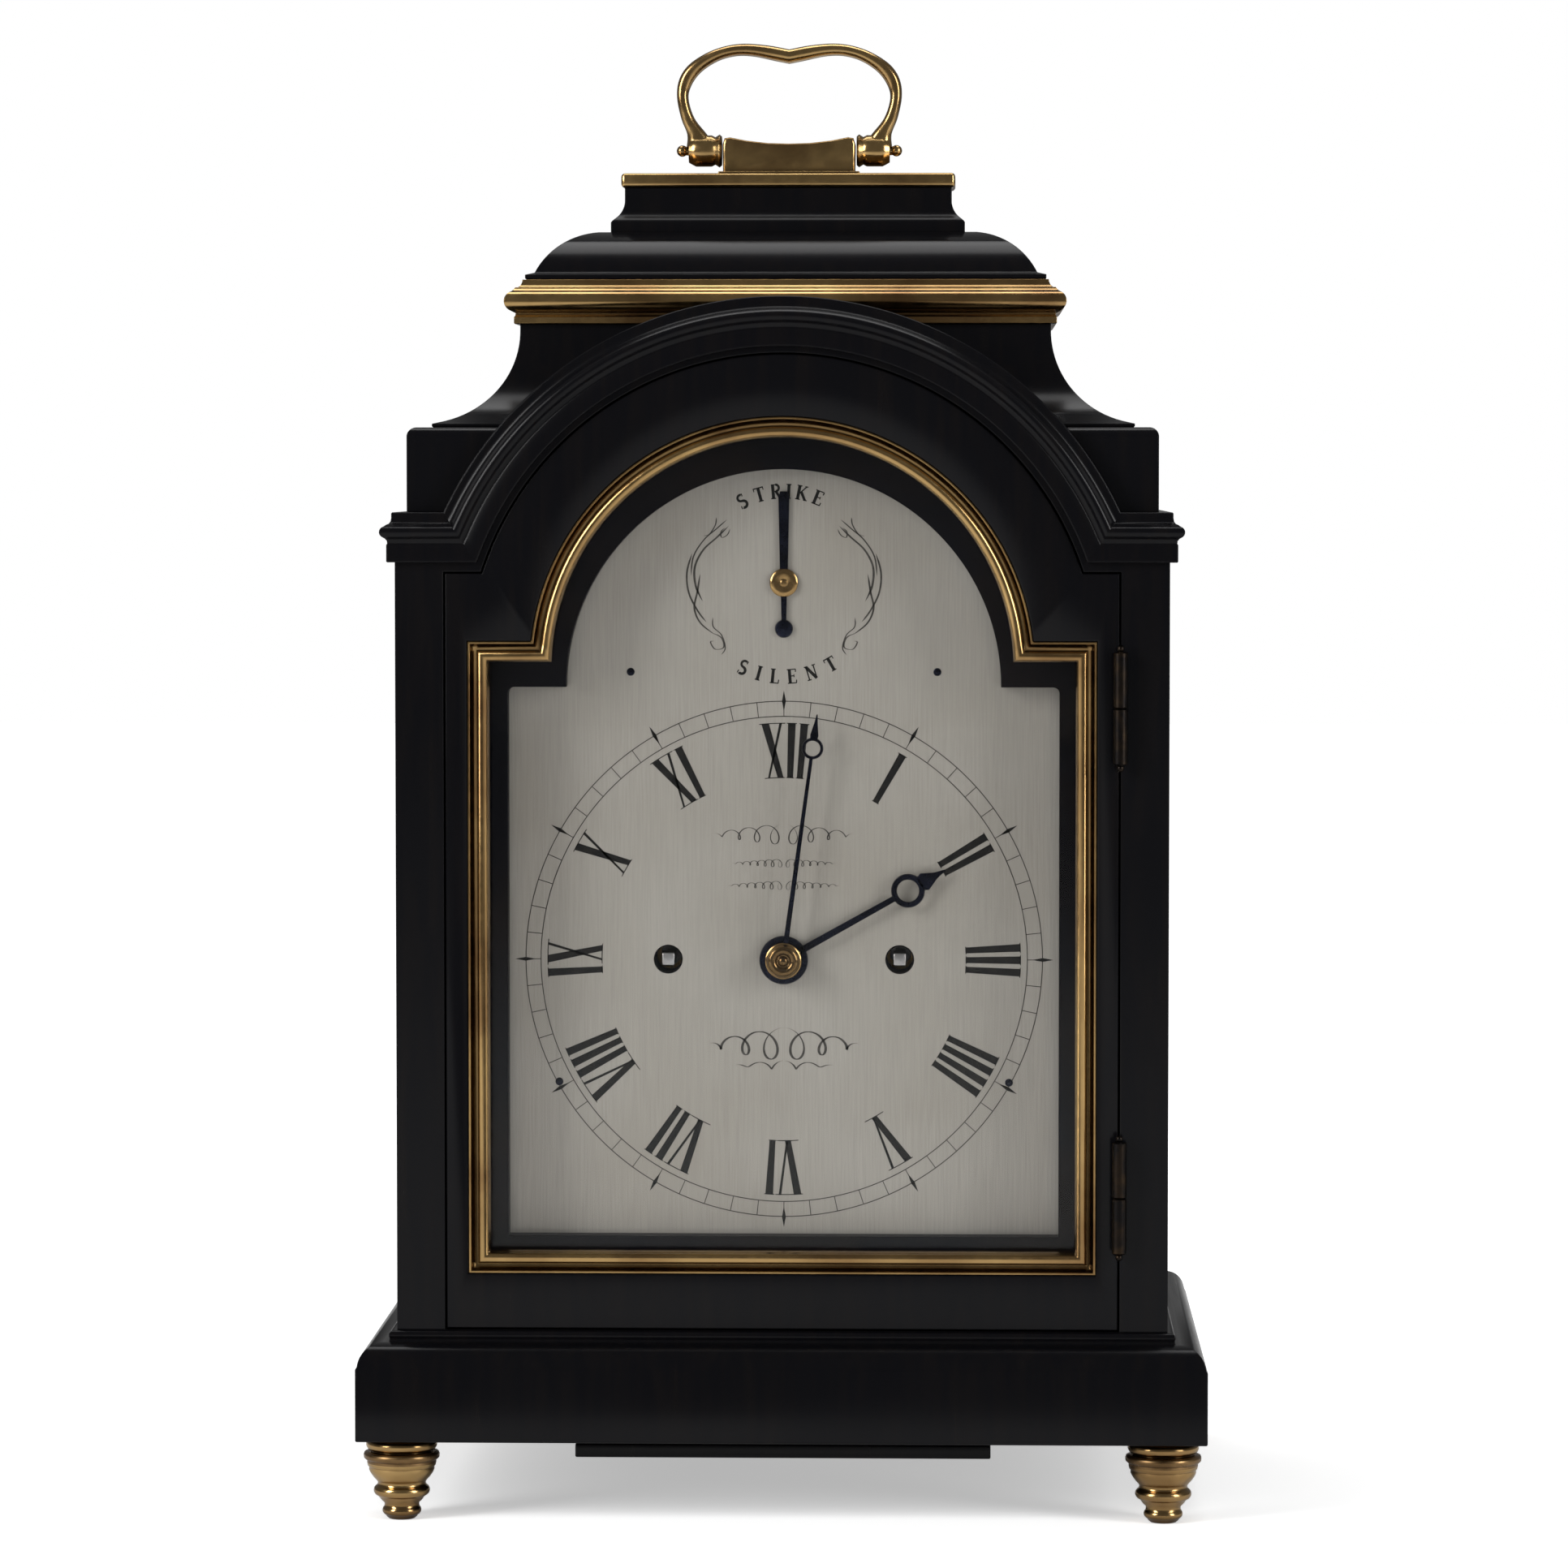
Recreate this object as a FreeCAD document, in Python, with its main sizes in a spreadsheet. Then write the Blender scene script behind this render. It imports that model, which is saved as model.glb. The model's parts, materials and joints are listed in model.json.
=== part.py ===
import FreeCAD, Part
import math
import os
import re
import Sketcher

# Bracket clock in an ebonised bell-top case, millimetres, +Z up, front towards -Y.
# Origin: floor level, under the middle of the base.

doc = FreeCAD.newDocument("bracket_clock")
sheet = doc.addObject("Spreadsheet::Sheet", "Sizes")

sizes = {
    # case, measured outside
    "caseWidth": 248.0,
    "caseDepth": 170.0,
    "wallThickness": 12.0,
    # heights above the floor, from the feet up
    "footHeight": 26.6,
    "plinthTop": 50.7,
    "ovoloTop": 57.8,
    "baseTop": 61.3,
    "corniceLevel": 308.5,
    "blockLevel": 324.5,
    "bellLevel": 351.7,
    "brassLevel": 385.5,
    "upperLevel": 400.0,
    "neckLevel": 416.0,
    "plateLevel": 431.2,
    "plateTop": 436.0,
    # base and feet
    "baseProjection": 12.5,
    "baseBead": 2.4,
    "footInset": 13.7,
    "footRadius": 12.3,
    "underBoardWidth": 135.0,
    "underBoardDepth": 150.0,
    "underBoardDrop": 8.2,
    "boardThickness": 9.0,
    # front of the case
    "frameThickness": 17.2,
    "archCentre": 274.0,
    "archInner": 103.5,
    "hoodRadius": 111.5,
    "hoodWall": 7.5,
    "hoodBack": 42.0,
    # bell top, half sizes across the front
    "blockHalf": 120.5,
    "bellFoot": 113.0,
    "bellHead": 87.0,
    "ovoloHead": 59.0,
    "neckHalf": 54.0,
    "plateHalf": 55.2,
    "topDifference": 40.0,
    # handle
    "pivotLevel": 444.0,
    "mountHalf": 22.3,
    "knuckleHalf": 33.3,
    "pivotRadius": 1.5,
    # front door
    "doorHalf": 108.0,
    "doorGap": 0.5,
    "doorTop": 305.0,
    "doorArch": 101.0,
    "doorThickness": 16.7,
    "closingBevel": 2.2,
    "bezelHalf": 101.0,
    "bezelBottom": 79.5,
    "bezelShoulder": 283.3,
    "bezelArch": 81.0,
    "bezelCentre": 274.2,
    "bezelWidth": 6.8,
    "glassThickness": 2.0,
    "glassFront": 75.0,
    "hingeLead": 3.2,
    "hingeRadius": 2.4,
    "hingeHeight": 36.0,
    "hingeLow": 105.0,
    "hingeHigh": 262.0,
    "leafThickness": 1.2,
    "leafWidth": 12.0,
    # dial
    "dialFront": 60.8,
    "dialThickness": 2.0,
    "dialHalf": 89.2,
    "dialBottom": 89.8,
    "dialShoulder": 268.0,
    "dialArch": 70.3,
    "dialMargin": 2.4,
    "maskFront": 67.8,
    "windingOffset": 37.6,
    "centreHeight": 179.3,
    "silenceHeight": 301.6,
    # movement plates
    "frontPlateFace": 36.0,
    "backPlateFace": 28.0,
    "plateThickness": 3.5,
    "plateWide": 80.0,
    "plateNarrow": 60.0,
    "seatLevel": 103.0,
    "plateShoulder": 228.0,
    "movementTop": 285.0,
    # pendulum
    "palletHeight": 264.5,
    "pendulumLength": 205.0,
    "pendulumPlane": 45.0,
    "bobRadius": 18.0,
    # tooth shapes, in modules
    "wheelAddendum": 0.95,
    "wheelDedendum": 1.5,
    "pinionAddendum": 0.5,
    "pinionDedendum": 1.5,
    "leafTip": 0.5,
    "leafRoot": 0.9,
}

for row, (alias, size) in enumerate(sizes.items(), start=1):
    sheet.set(f"A{row}", alias)
    sheet.set(f"B{row}", str(size))
    sheet.setAlias(f"B{row}", alias)
doc.recompute()


def bind(text):
    """Name the sheet before each alias, so that an expression can stand on any object."""
    return re.sub(r"[A-Za-z]\w*", lambda word: "Sizes." * (word[0] in sizes) + word[0], str(text))


def number(text):
    return float(sheet.evalExpression(str(text)))


# ---------------------------------------------------------------- sketches

def arc(radius, side):
    """A curve to the next point: side is 1 where it bulges left of the way there, -1 right."""
    return ("arc", radius, side)


def circle(radius, across=0, up=0):
    return [("circle", radius, across, up)]


def rectangle(left, low, right, high):
    return [(left, low), (right, low), (right, high), (left, high)]


def facets(sides, radius, across="0", up="0"):
    """A small round thing as a polygon, with its corners on the radius."""
    corners = []
    for index in range(sides):
        at = 360.0 * (index + 0.5) / sides
        corners.append((f"{across} + ({radius}) * sin({at} deg)", f"{up} + ({radius}) * cos({at} deg)"))
    return corners


def bore(sides, radius, across="0", up="0"):
    """A small round hole as a polygon, with its flats on the radius."""
    return facets(sides, f"({radius}) / cos({180.0 / sides} deg)", across, up)


def backwards(items):
    """The same stretch of outline, walked the other way."""
    return [arc(item[1], -item[2]) if item[0] == "arc" else item for item in reversed(items)]


def mirror(items):
    """The same stretch of outline on the other side of the upright axis."""
    return [arc(item[1], -item[2]) if item[0] == "arc" else (f"-({item[0]})", item[1]) for item in items]


def both_sides(items):
    """A closed outline from its right half."""
    return items + mirror(backwards(items))


def plane_of(body, name):
    return next(item for item in body.Origin.OriginFeatures if item.Role == name)


def constrain(sketch, kind, edge, end, text):
    index = sketch.addConstraint(Sketcher.Constraint(kind, -1, 1, edge, end, number(text)))
    sketch.setExpression(f"Constraints[{index}]", bind(text))


def add_circle(sketch, item):
    _, radius, across, up = item
    middle = FreeCAD.Vector(number(across), number(up), 0)
    edge = sketch.addGeometry(Part.Circle(middle, FreeCAD.Vector(0, 0, 1), number(radius)), False)
    index = sketch.addConstraint(Sketcher.Constraint("Radius", edge, number(radius)))
    sketch.setExpression(f"Constraints[{index}]", bind(radius))
    constrain(sketch, "DistanceX", edge, 3, across)
    constrain(sketch, "DistanceY", edge, 3, up)


def add_arc(sketch, start, finish, radius, side):
    """Add an arc and say which of its ends comes first on the outline."""
    chord = finish - start
    rise = math.sqrt(max(radius ** 2 - (chord.Length / 2) ** 2, 0.0))
    across = FreeCAD.Vector(-chord.y, chord.x, 0).normalize()
    middle = (start + finish) * 0.5 - across * (rise * side)
    first, last = (start, finish) if side < 0 else (finish, start)
    angles = [math.atan2(point.y - middle.y, point.x - middle.x) for point in (first, last)]
    whole = Part.Circle(middle, FreeCAD.Vector(0, 0, 1), radius)
    edge = sketch.addGeometry(Part.ArcOfCircle(whole, angles[0], angles[1]), False)
    return edge, (1, 2) if side < 0 else (2, 1)


def draw_loop(sketch, loop):
    if loop[0][0] == "circle":
        for item in loop:
            add_circle(sketch, item)
        return
    points = []
    curves = {}
    for item in loop:
        if item[0] == "arc":
            curves[len(points) - 1] = item
        else:
            points.append(item)
    edges = []
    for index, point in enumerate(points):
        following = points[(index + 1) % len(points)]
        start = FreeCAD.Vector(number(point[0]), number(point[1]), 0)
        finish = FreeCAD.Vector(number(following[0]), number(following[1]), 0)
        if index in curves:
            _, radius, side = curves[index]
            edge, ends = add_arc(sketch, start, finish, number(radius), side)
            if (finish - start).Length > 1.999 * number(radius):
                level = 0 if start.x == finish.x else 1
                middle = f"(({point[level]}) + ({following[level]})) / 2"
                constrain(sketch, ("DistanceX", "DistanceY")[level], edge, 3, middle)
            else:
                fixed = sketch.addConstraint(Sketcher.Constraint("Radius", edge, number(radius)))
                sketch.setExpression(f"Constraints[{fixed}]", bind(radius))
        else:
            edge = sketch.addGeometry(Part.LineSegment(start, finish), False)
            ends = (1, 2)
        edges.append((edge, ends))
    for index, point in enumerate(points):
        edge, ends = edges[index]
        before, before_ends = edges[index - 1]
        sketch.addConstraint(Sketcher.Constraint("Coincident", before, before_ends[1], edge, ends[0]))
        constrain(sketch, "DistanceX", edge, ends[0], point[0])
        constrain(sketch, "DistanceY", edge, ends[0], point[1])


def sketch_on(body, plane, loops, offset="0", turn=0.0):
    sketch = body.newObject("Sketcher::SketchObject", "Sketch")
    sketch.AttachmentSupport = (plane_of(body, plane + "_Plane"), "")
    sketch.MapMode = "FlatFace"
    turned = FreeCAD.Rotation(FreeCAD.Vector(0, 0, 1), turn)
    sketch.AttachmentOffset = FreeCAD.Placement(FreeCAD.Vector(0, 0, number(offset)), turned)
    sketch.setExpression("AttachmentOffset.Base.z", bind(offset))
    for loop in loops:
        draw_loop(sketch, loop)
    return sketch


# ---------------------------------------------------------------- features

parts = []


def loose_body(label):
    body = doc.addObject("PartDesign::Body", "Body")
    body.Label = label
    return body


def new_body(label):
    body = loose_body(label)
    parts.append(body)
    return body


def place(thing, across="0", back="0", up="0"):
    thing.setExpression("Placement.Base.x", bind(across))
    thing.setExpression("Placement.Base.y", bind(back))
    thing.setExpression("Placement.Base.z", bind(up))


def pad(body, plane, loops, low, high, turn=0.0):
    """Solid between two levels along the plane's own world axis."""
    offset = f"-({high})" if plane == "XZ" else low
    feature = body.newObject("PartDesign::Pad", "Pad")
    feature.Profile = sketch_on(body, plane, loops, offset, turn)
    feature.setExpression("Length", bind(f"({high}) - ({low})"))
    return feature


def pocket(body, plane, loops, low, high, turn=0.0):
    """Hollow between two levels along the plane's own world axis."""
    doc.recompute()
    before = body.Shape.Volume
    offset = f"-({low})" if plane == "XZ" else high
    sketch = sketch_on(body, plane, loops, offset, turn)
    feature = body.newObject("PartDesign::Pocket", "Pocket")
    feature.Profile = sketch
    feature.setExpression("Length", bind(f"({high}) - ({low})"))
    doc.recompute()
    if body.Shape.Volume > before - 1e-3:
        raise RuntimeError(f"{body.Label}: a pocket cut nothing")
    return feature


def revolve(body, loops, axis="V_Axis", plane="XZ", offset="0"):
    feature = body.newObject("PartDesign::Revolution", "Revolution")
    feature.Profile = sketch_on(body, plane, loops, offset)
    feature.ReferenceAxis = (feature.Profile[0], [axis])
    feature.Angle = 360.0
    return feature


def frame_around(body, half_width, half_depth, profile):
    """Sweep a moulding round a rectangle with mitred corners.

    The profile's points are the projection from the rectangle and the height."""
    path = sketch_on(body, "XY", [])
    corners = [
        ("0", f"-({half_depth})"),
        (half_width, f"-({half_depth})"),
        (half_width, half_depth),
        (f"-({half_width})", half_depth),
        (f"-({half_width})", f"-({half_depth})"),
    ]
    draw_loop(path, corners)
    points = []
    for item in profile:
        if item[0] == "arc":
            points.append(arc(item[1], -item[2]))
        else:
            points.append((f"-({half_depth}) - ({item[0]})", item[1]))
    section = sketch_on(body, "YZ", [points])
    feature = body.newObject("PartDesign::AdditivePipe", "Moulding")
    feature.Profile = section
    feature.Spine = path
    feature.Transition = "Right corner"
    return feature


def edges_where(shape, test):
    return [f"Edge{index}" for index, edge in enumerate(shape.Edges, start=1) if test(edge)]


def soften(body, kind, size, test):
    """Fillet or chamfer the edges of the body's last feature that pass a test."""
    doc.recompute()
    base = body.Tip
    names = edges_where(base.Shape, test)
    if not names:
        raise RuntimeError(f"{body.Label}: no edge to soften")
    feature = body.newObject("PartDesign::" + kind, kind)
    feature.Base = (base, names)
    feature.setExpression("Radius" if kind == "Fillet" else "Size", bind(size))
    return feature


def board(label, left, right, front, back, low, high):
    """A plain board, as a box between its faces."""
    box = doc.addObject("Part::Box", "Board")
    box.Label = label
    box.setExpression("Length", bind(f"({right}) - ({left})"))
    box.setExpression("Width", bind(f"({back}) - ({front})"))
    box.setExpression("Height", bind(f"({high}) - ({low})"))
    place(box, left, front, low)
    parts.append(box)
    return box


def disc(body, radius, front, back):
    """A round piece on the body's own arbor, which runs front to back."""
    return pad(body, "XZ", [circle(radius)], front, back)


def rod(body, radius, front, back, sides=8):
    """A thin arbor or post that runs front to back, with few facets."""
    return pad(body, "XZ", [facets(sides, radius)], front, back)


def group_of(label, members):
    """Several bodies that make one piece of the clock."""
    group = doc.addObject("Part::Compound", "Group")
    group.Label = label
    group.Links = members
    parts.append(group)
    return group


# ---------------------------------------------------------------- base and feet

half_width = "caseWidth / 2"
half_depth = "caseDepth / 2"
inner_half = "(caseWidth / 2 - wallThickness)"
inner_depth = "(caseDepth / 2 - wallThickness)"


def make_base():
    base = new_body("base_moulding")
    profile = [
        ("-wallThickness", "footHeight"),
        ("baseProjection", "footHeight"),
        ("baseProjection", "plinthTop"),
        arc("8.2", -1),
        ("baseBead + 1.1", "ovoloTop"),
        ("baseBead", "ovoloTop"),
        ("baseBead", "baseTop"),
        ("-wallThickness", "baseTop"),
    ]
    frame_around(base, half_width, half_depth, profile)
    board(
        "base_board", f"-{inner_half}", inner_half, f"-{inner_depth}", inner_depth,
        "footHeight", "footHeight + boardThickness",
    )
    under = new_body("under_board")
    across = "underBoardWidth / 2 - 1"
    deep = "underBoardDepth / 2 - 1"
    low = "footHeight - underBoardDrop"
    pad(under, "XY", [rectangle(f"-({across})", f"-({deep})", across, deep)], low, "footHeight")
    bead = [
        ("-2", "footHeight - 4.2"),
        ("0.2", "footHeight - 4.2"),
        ("1", "footHeight - 3.4"),
        ("1", "footHeight - 0.8"),
        ("0.2", "footHeight"),
        ("-2", "footHeight"),
    ]
    frame_around(under, across, deep, bead)


def make_feet():
    """Four turned feet, each a stack of rings that shrink towards the floor."""
    feet = []
    reach_x = f"({half_width} + baseProjection - footInset)"
    reach_y = f"({half_depth} + baseProjection - footInset)"
    tiers = (("0", "0.3", "0.5"), ("0.3", "0.63", "0.76"), ("0.63", "1", "1"))
    for side in ("-", ""):
        for end in ("-", ""):
            foot = loose_body(f"foot_{len(feet)}")
            for low, high, share in tiers:
                ring = facets(12, f"footRadius * {share}")
                pad(foot, "XY", [ring], f"footHeight * {low}", f"footHeight * {high}")
            place(foot, side + reach_x, end + reach_y)
            feet.append(foot)
    group_of("feet", feet)


# ---------------------------------------------------------------- walls of the case

hinge_levels = ("hingeLow", "hingeHigh")


def leaf_bed(left, right, level):
    """Outline of the sinking for one hinge leaf, between two edges."""
    return rectangle(left, f"{level} - hingeHeight / 2 - 0.2", right, f"{level} + hingeHeight / 2 + 0.2")


def make_sides():
    window = [
        ("36", "118"),
        ("36", "220"),
        arc("36", -1),
        ("-36", "220"),
        ("-36", "118"),
    ]
    frets = []
    for side, name in ((-1, "left"), (1, "right")):
        wall = new_body(f"case_side_{name}")
        low, high = (inner_half, half_width) if side > 0 else (f"-({half_width})", f"-{inner_half}")
        front = f"-({half_depth} - frameThickness)"
        pad(wall, "YZ", [rectangle(front, "baseTop", half_depth, "blockLevel")], low, high)
        pocket(wall, "YZ", [window], f"{low} - 1", f"{high} + 1")
        if side > 0:
            bed = f"{half_depth} - leafWidth - 0.3"
            sinkings = [leaf_bed(bed, f"{half_depth} + 1", level) for level in hinge_levels]
            pocket(wall, "YZ", sinkings, f"{low} - 1", f"{low} + leafThickness + 0.05")
        fret = loose_body(f"fret_{name}")
        inside = f"{inner_half} - 1.2" if side > 0 else f"-{inner_half}"
        pad(fret, "YZ", [rectangle("-41", "113", "41", "261")], inside, f"({inside}) + 1.2")
        cell = [("-27", "122"), ("-20", "133"), ("-27", "144"), ("-34", "133")]
        scale = pocket(fret, "YZ", [cell], f"({inside}) - 1", f"({inside}) + 3")
        across = fret.newObject("PartDesign::LinearPattern", "Row")
        across.Originals = [scale]
        across.Direction = (plane_of(fret, "Y_Axis"), [""])
        across.Length = 54.0
        across.Occurrences = 4
        fret.Tip = across
        frets.append(fret)
    group_of("side_frets", frets)


def arched(half, low, shoulder, radius, centre):
    """Outline of a board with a round head that springs from square shoulders."""
    spring = f"sqrt(({radius}) ^ 2 - ({shoulder} - ({centre})) ^ 2)"
    right = [(half, low), (half, shoulder), (spring, shoulder)]
    return right + [arc(radius, -1)] + mirror(backwards(right))


def make_front():
    frame = new_body("front_frame")
    back = f"-({half_depth} - frameThickness)"
    front = f"-({half_depth})"
    pad(frame, "XZ", [arched(half_width, "baseTop", "blockLevel", "hoodRadius", "archCentre")], front, back)
    outer = "sqrt(hoodRadius ^ 2 - (blockLevel - archCentre) ^ 2)"
    inner = "sqrt((hoodRadius - hoodWall) ^ 2 - (blockLevel - archCentre) ^ 2)"
    vault = [
        (outer, "blockLevel"),
        arc("hoodRadius", -1),
        (f"-{outer}", "blockLevel"),
        (f"-{inner}", "blockLevel"),
        arc("hoodRadius - hoodWall", 1),
        (inner, "blockLevel"),
    ]
    pad(frame, "XZ", [vault], back, "-hoodBack")
    jamb = "doorHalf + doorGap"
    opening = arched(jamb, "baseTop - 1", "doorTop + doorGap", "doorArch + doorGap", "archCentre")
    pocket(frame, "XZ", [opening], f"{front} - 1", back)
    mortise = [leaf_bed(f"{jamb} - 1", f"{jamb} + leafThickness + 0.05", level) for level in hinge_levels]
    pocket(frame, "XZ", mortise, f"{front} - 1", f"{front} + leafWidth + 0.3")
    board(
        "rear_top_rail", f"-{inner_half}", inner_half,
        f"{half_depth} - frameThickness", half_depth, "corniceLevel - 0.5", "blockLevel",
    )


def crown(reach, level):
    """The cornice section: fillet, cove, bead and top fillet.

    The hood's arch has it too, with the height read outwards from its inner edge."""
    return [
        (f"{reach}", f"{level}"),
        (f"{reach} + 2.5", f"{level}"),
        (f"{reach} + 2.5", f"{level} + 6.2"),
        (f"{reach} + 4.6", f"{level} + 8"),
        (f"{reach} + 4.6", f"{level} + 11.8"),
        (f"{reach} + 1", f"{level} + 13.2"),
        (f"{reach} + 1", f"{level} + 16"),
        (f"{reach}", f"{level} + 16"),
    ]


def make_crown():
    mitre_low = "sqrt(archInner ^ 2 - (corniceLevel - archCentre) ^ 2)"
    mitre_high = "sqrt((archInner + 16) ^ 2 - (corniceLevel + 16 - archCentre) ^ 2)"
    cornice = new_body("cornice_moulding")
    frame_around(cornice, half_width, half_depth, crown("0", "corniceLevel"))
    gap = both_sides(
        [
            (mitre_low, "corniceLevel - 4"),
            (mitre_low, "corniceLevel"),
            (mitre_high, "corniceLevel + 16"),
            (mitre_high, "corniceLevel + 20"),
        ]
    )
    pocket(cornice, "XZ", [gap], f"-({half_depth}) - 10", f"-({half_depth}) + 4")

    arch = new_body("arch_moulding")
    face = f"-({half_depth})"
    section = [(item[1], f"{face} - ({item[0]})") for item in crown("0", "archInner")[:-1]]
    lip = [("archInner + 16", f"{face} + 8"), ("hoodRadius", f"{face} + 8"), ("hoodRadius", face)]
    revolve(arch, [section + lip], "V_Axis", "XY")
    place(arch, "0", "0", "archCentre")
    away = both_sides(
        [
            ("140", "-140"),
            ("140", "corniceLevel + 16 - archCentre"),
            (mitre_high, "corniceLevel + 16 - archCentre"),
            (mitre_low, "corniceLevel - archCentre"),
        ]
    )
    pocket(arch, "XZ", [away], f"-({half_depth}) - 10", f"-({half_depth}) + 20")
    lip_end = rectangle("-140", "-140", "140", "blockLevel - archCentre")
    pocket(arch, "XZ", [lip_end], face, f"{face} + 20")


# ---------------------------------------------------------------- bell top

def make_bell_top():
    block = new_body("top_board")
    deep = "(blockHalf - topDifference)"
    pad(block, "XY", [rectangle("-blockHalf", f"-{deep}", "blockHalf", deep)], "blockLevel", "bellLevel")
    level = number("bellLevel")
    soften(block, "Fillet", "3", lambda edge: min(v.Z for v in edge.Vertexes) > level - 0.1)
    pocket(block, "XZ", [circle("hoodRadius", "0", "archCentre")], f"-{deep} - 1", "-hoodBack")
    pocket(block, "XZ", [circle("archInner + 16.05", "0", "archCentre")], f"-{deep} - 1", "-77")
    pocket(block, "XY", [rectangle("-70", "-35", "70", "35")], "blockLevel - 1", "bellLevel + 1")

    lower = new_body("bell_lower")
    drop = "(bellFoot - bellHead)"
    cavetto = [
        ("-12", "bellLevel"),
        (drop, "bellLevel"),
        arc("30", 1),
        ("0", "brassLevel"),
        ("-12", "brassLevel"),
    ]
    frame_around(lower, "bellHead", "bellHead - topDifference", cavetto)
    face = "-(bellFoot - topDifference)"
    pocket(lower, "XZ", [circle("hoodRadius", "0", "archCentre")], f"{face} - 1", "-hoodBack")

    brass = new_body("bell_brass_moulding")
    band = [
        ("-12", "brassLevel"),
        ("1.2", "brassLevel"),
        ("1.2", "brassLevel + 3"),
        ("2", "brassLevel + 4.4"),
        arc("3.2", -1),
        ("2", "brassLevel + 10.6"),
        arc("5", 1),
        ("-1", "upperLevel"),
        ("-12", "upperLevel"),
    ]
    frame_around(brass, "bellHead", "bellHead - topDifference", band)

    upper = new_body("bell_upper")
    core_half = "ovoloHead - 8"
    core_deep = "ovoloHead - topDifference - 8"
    core = rectangle(f"-({core_half})", f"-({core_deep})", core_half, core_deep)
    pad(upper, "XY", [core], "upperLevel", "neckLevel")
    ovolo = [
        ("-8", "upperLevel"),
        ("bellHead - 1.5 - ovoloHead", "upperLevel"),
        arc("26.8", -1),
        ("0", "neckLevel"),
        ("-8", "neckLevel"),
    ]
    frame_around(upper, "ovoloHead", "ovoloHead - topDifference", ovolo)

    neck = new_body("bell_neck")
    core_half = "neckHalf - 7"
    core_deep = "neckHalf - topDifference - 7"
    core = rectangle(f"-({core_half})", f"-({core_deep})", core_half, core_deep)
    pad(neck, "XY", [core], "neckLevel", "plateLevel")
    cove = [
        ("-7", "neckLevel"),
        ("4.4", "neckLevel"),
        ("4.4", "neckLevel + 4.4"),
        arc("8", 1),
        ("0", "neckLevel + 11"),
        ("0", "plateLevel"),
        ("-7", "plateLevel"),
    ]
    frame_around(neck, "neckHalf", "neckHalf - topDifference", cove)

    plate = new_body("top_plate")
    deep = "(plateHalf - topDifference)"
    pad(plate, "XY", [rectangle("-plateHalf", f"-{deep}", "plateHalf", deep)], "plateLevel", "plateTop")
    level = number("plateTop")
    soften(plate, "Chamfer", "1.2", lambda edge: min(v.Z for v in edge.Vertexes) > level - 0.1)


# ---------------------------------------------------------------- carrying handle

def make_handle():
    mount = new_body("handle_mount")
    saddle = [
        ("mountHalf - 0.3", "plateTop"),
        ("mountHalf - 0.3", "pivotLevel + 4.4"),
        ("mountHalf - 4", "pivotLevel + 4.4"),
        arc("44", 1),
        ("-(mountHalf - 4)", "pivotLevel + 4.4"),
        ("-(mountHalf - 0.3)", "pivotLevel + 4.4"),
        ("-(mountHalf - 0.3)", "plateTop"),
    ]
    pad(mount, "XZ", [saddle], "-5.5", "5.5")
    pin_end = "mountHalf - 8"
    shaft = bore(12, "pivotRadius", "0", "pivotLevel")
    pocket(mount, "YZ", [shaft], pin_end, "mountHalf + 1")
    pocket(mount, "YZ", [shaft], "-mountHalf - 1", f"-({pin_end})")

    bail = new_body("handle_bail")
    right = [
        ("mountHalf", "pivotLevel - 5.7"),
        ("knuckleHalf", "pivotLevel - 5.7"),
        ("knuckleHalf + 0.4", "pivotLevel + 6.4"),
        ("knuckleHalf + 2.8", "pivotLevel + 11"),
        ("knuckleHalf + 4.2", "pivotLevel + 18"),
        ("knuckleHalf + 3.5", "pivotLevel + 23.4"),
        ("33.5", "pivotLevel + 28.4"),
        ("27.8", "pivotLevel + 32.4"),
        ("21.6", "pivotLevel + 34.8"),
        ("14", "pivotLevel + 35.8"),
    ]
    inner = [
        ("mountHalf", "pivotLevel + 5.2"),
        ("27.8", "pivotLevel + 6.4"),
        ("31.4", "pivotLevel + 10.4"),
        ("33.4", "pivotLevel + 17.2"),
        ("32.5", "pivotLevel + 21.6"),
        ("28.9", "pivotLevel + 27.4"),
        ("23.2", "pivotLevel + 30.9"),
        ("13", "pivotLevel + 32"),
    ]
    top = ("0", "pivotLevel + 34.2")
    cusp = ("0", "pivotLevel + 28.8")
    loop = right + [top] + mirror(backwards(right)) + mirror(inner) + [cusp] + backwards(inner)
    pad(bail, "XZ", [loop], "-4.2", "4.2")
    hole = bore(12, "pivotRadius + 0.05", "0", "pivotLevel")
    pocket(bail, "YZ", [hole], "-knuckleHalf - 2", "knuckleHalf + 2")

    screws = []
    for turn in (0, 180):
        screw = loose_body(f"pivot_screw_{len(screws)}")
        pad(screw, "YZ", [circle("pivotRadius")], "mountHalf - 8", "knuckleHalf + 0.8")
        pad(screw, "YZ", [facets(12, "1.9")], "knuckleHalf + 0.8", "knuckleHalf + 4.2")
        turned = FreeCAD.Rotation(FreeCAD.Vector(0, 0, 1), turn)
        screw.Placement = FreeCAD.Placement(FreeCAD.Vector(0, 0, number("pivotLevel")), turned)
        screw.setExpression("Placement.Base.z", bind("pivotLevel"))
        screws.append(screw)
    group_of("handle_pivot_screws", screws)


# ---------------------------------------------------------------- hinges

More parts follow.
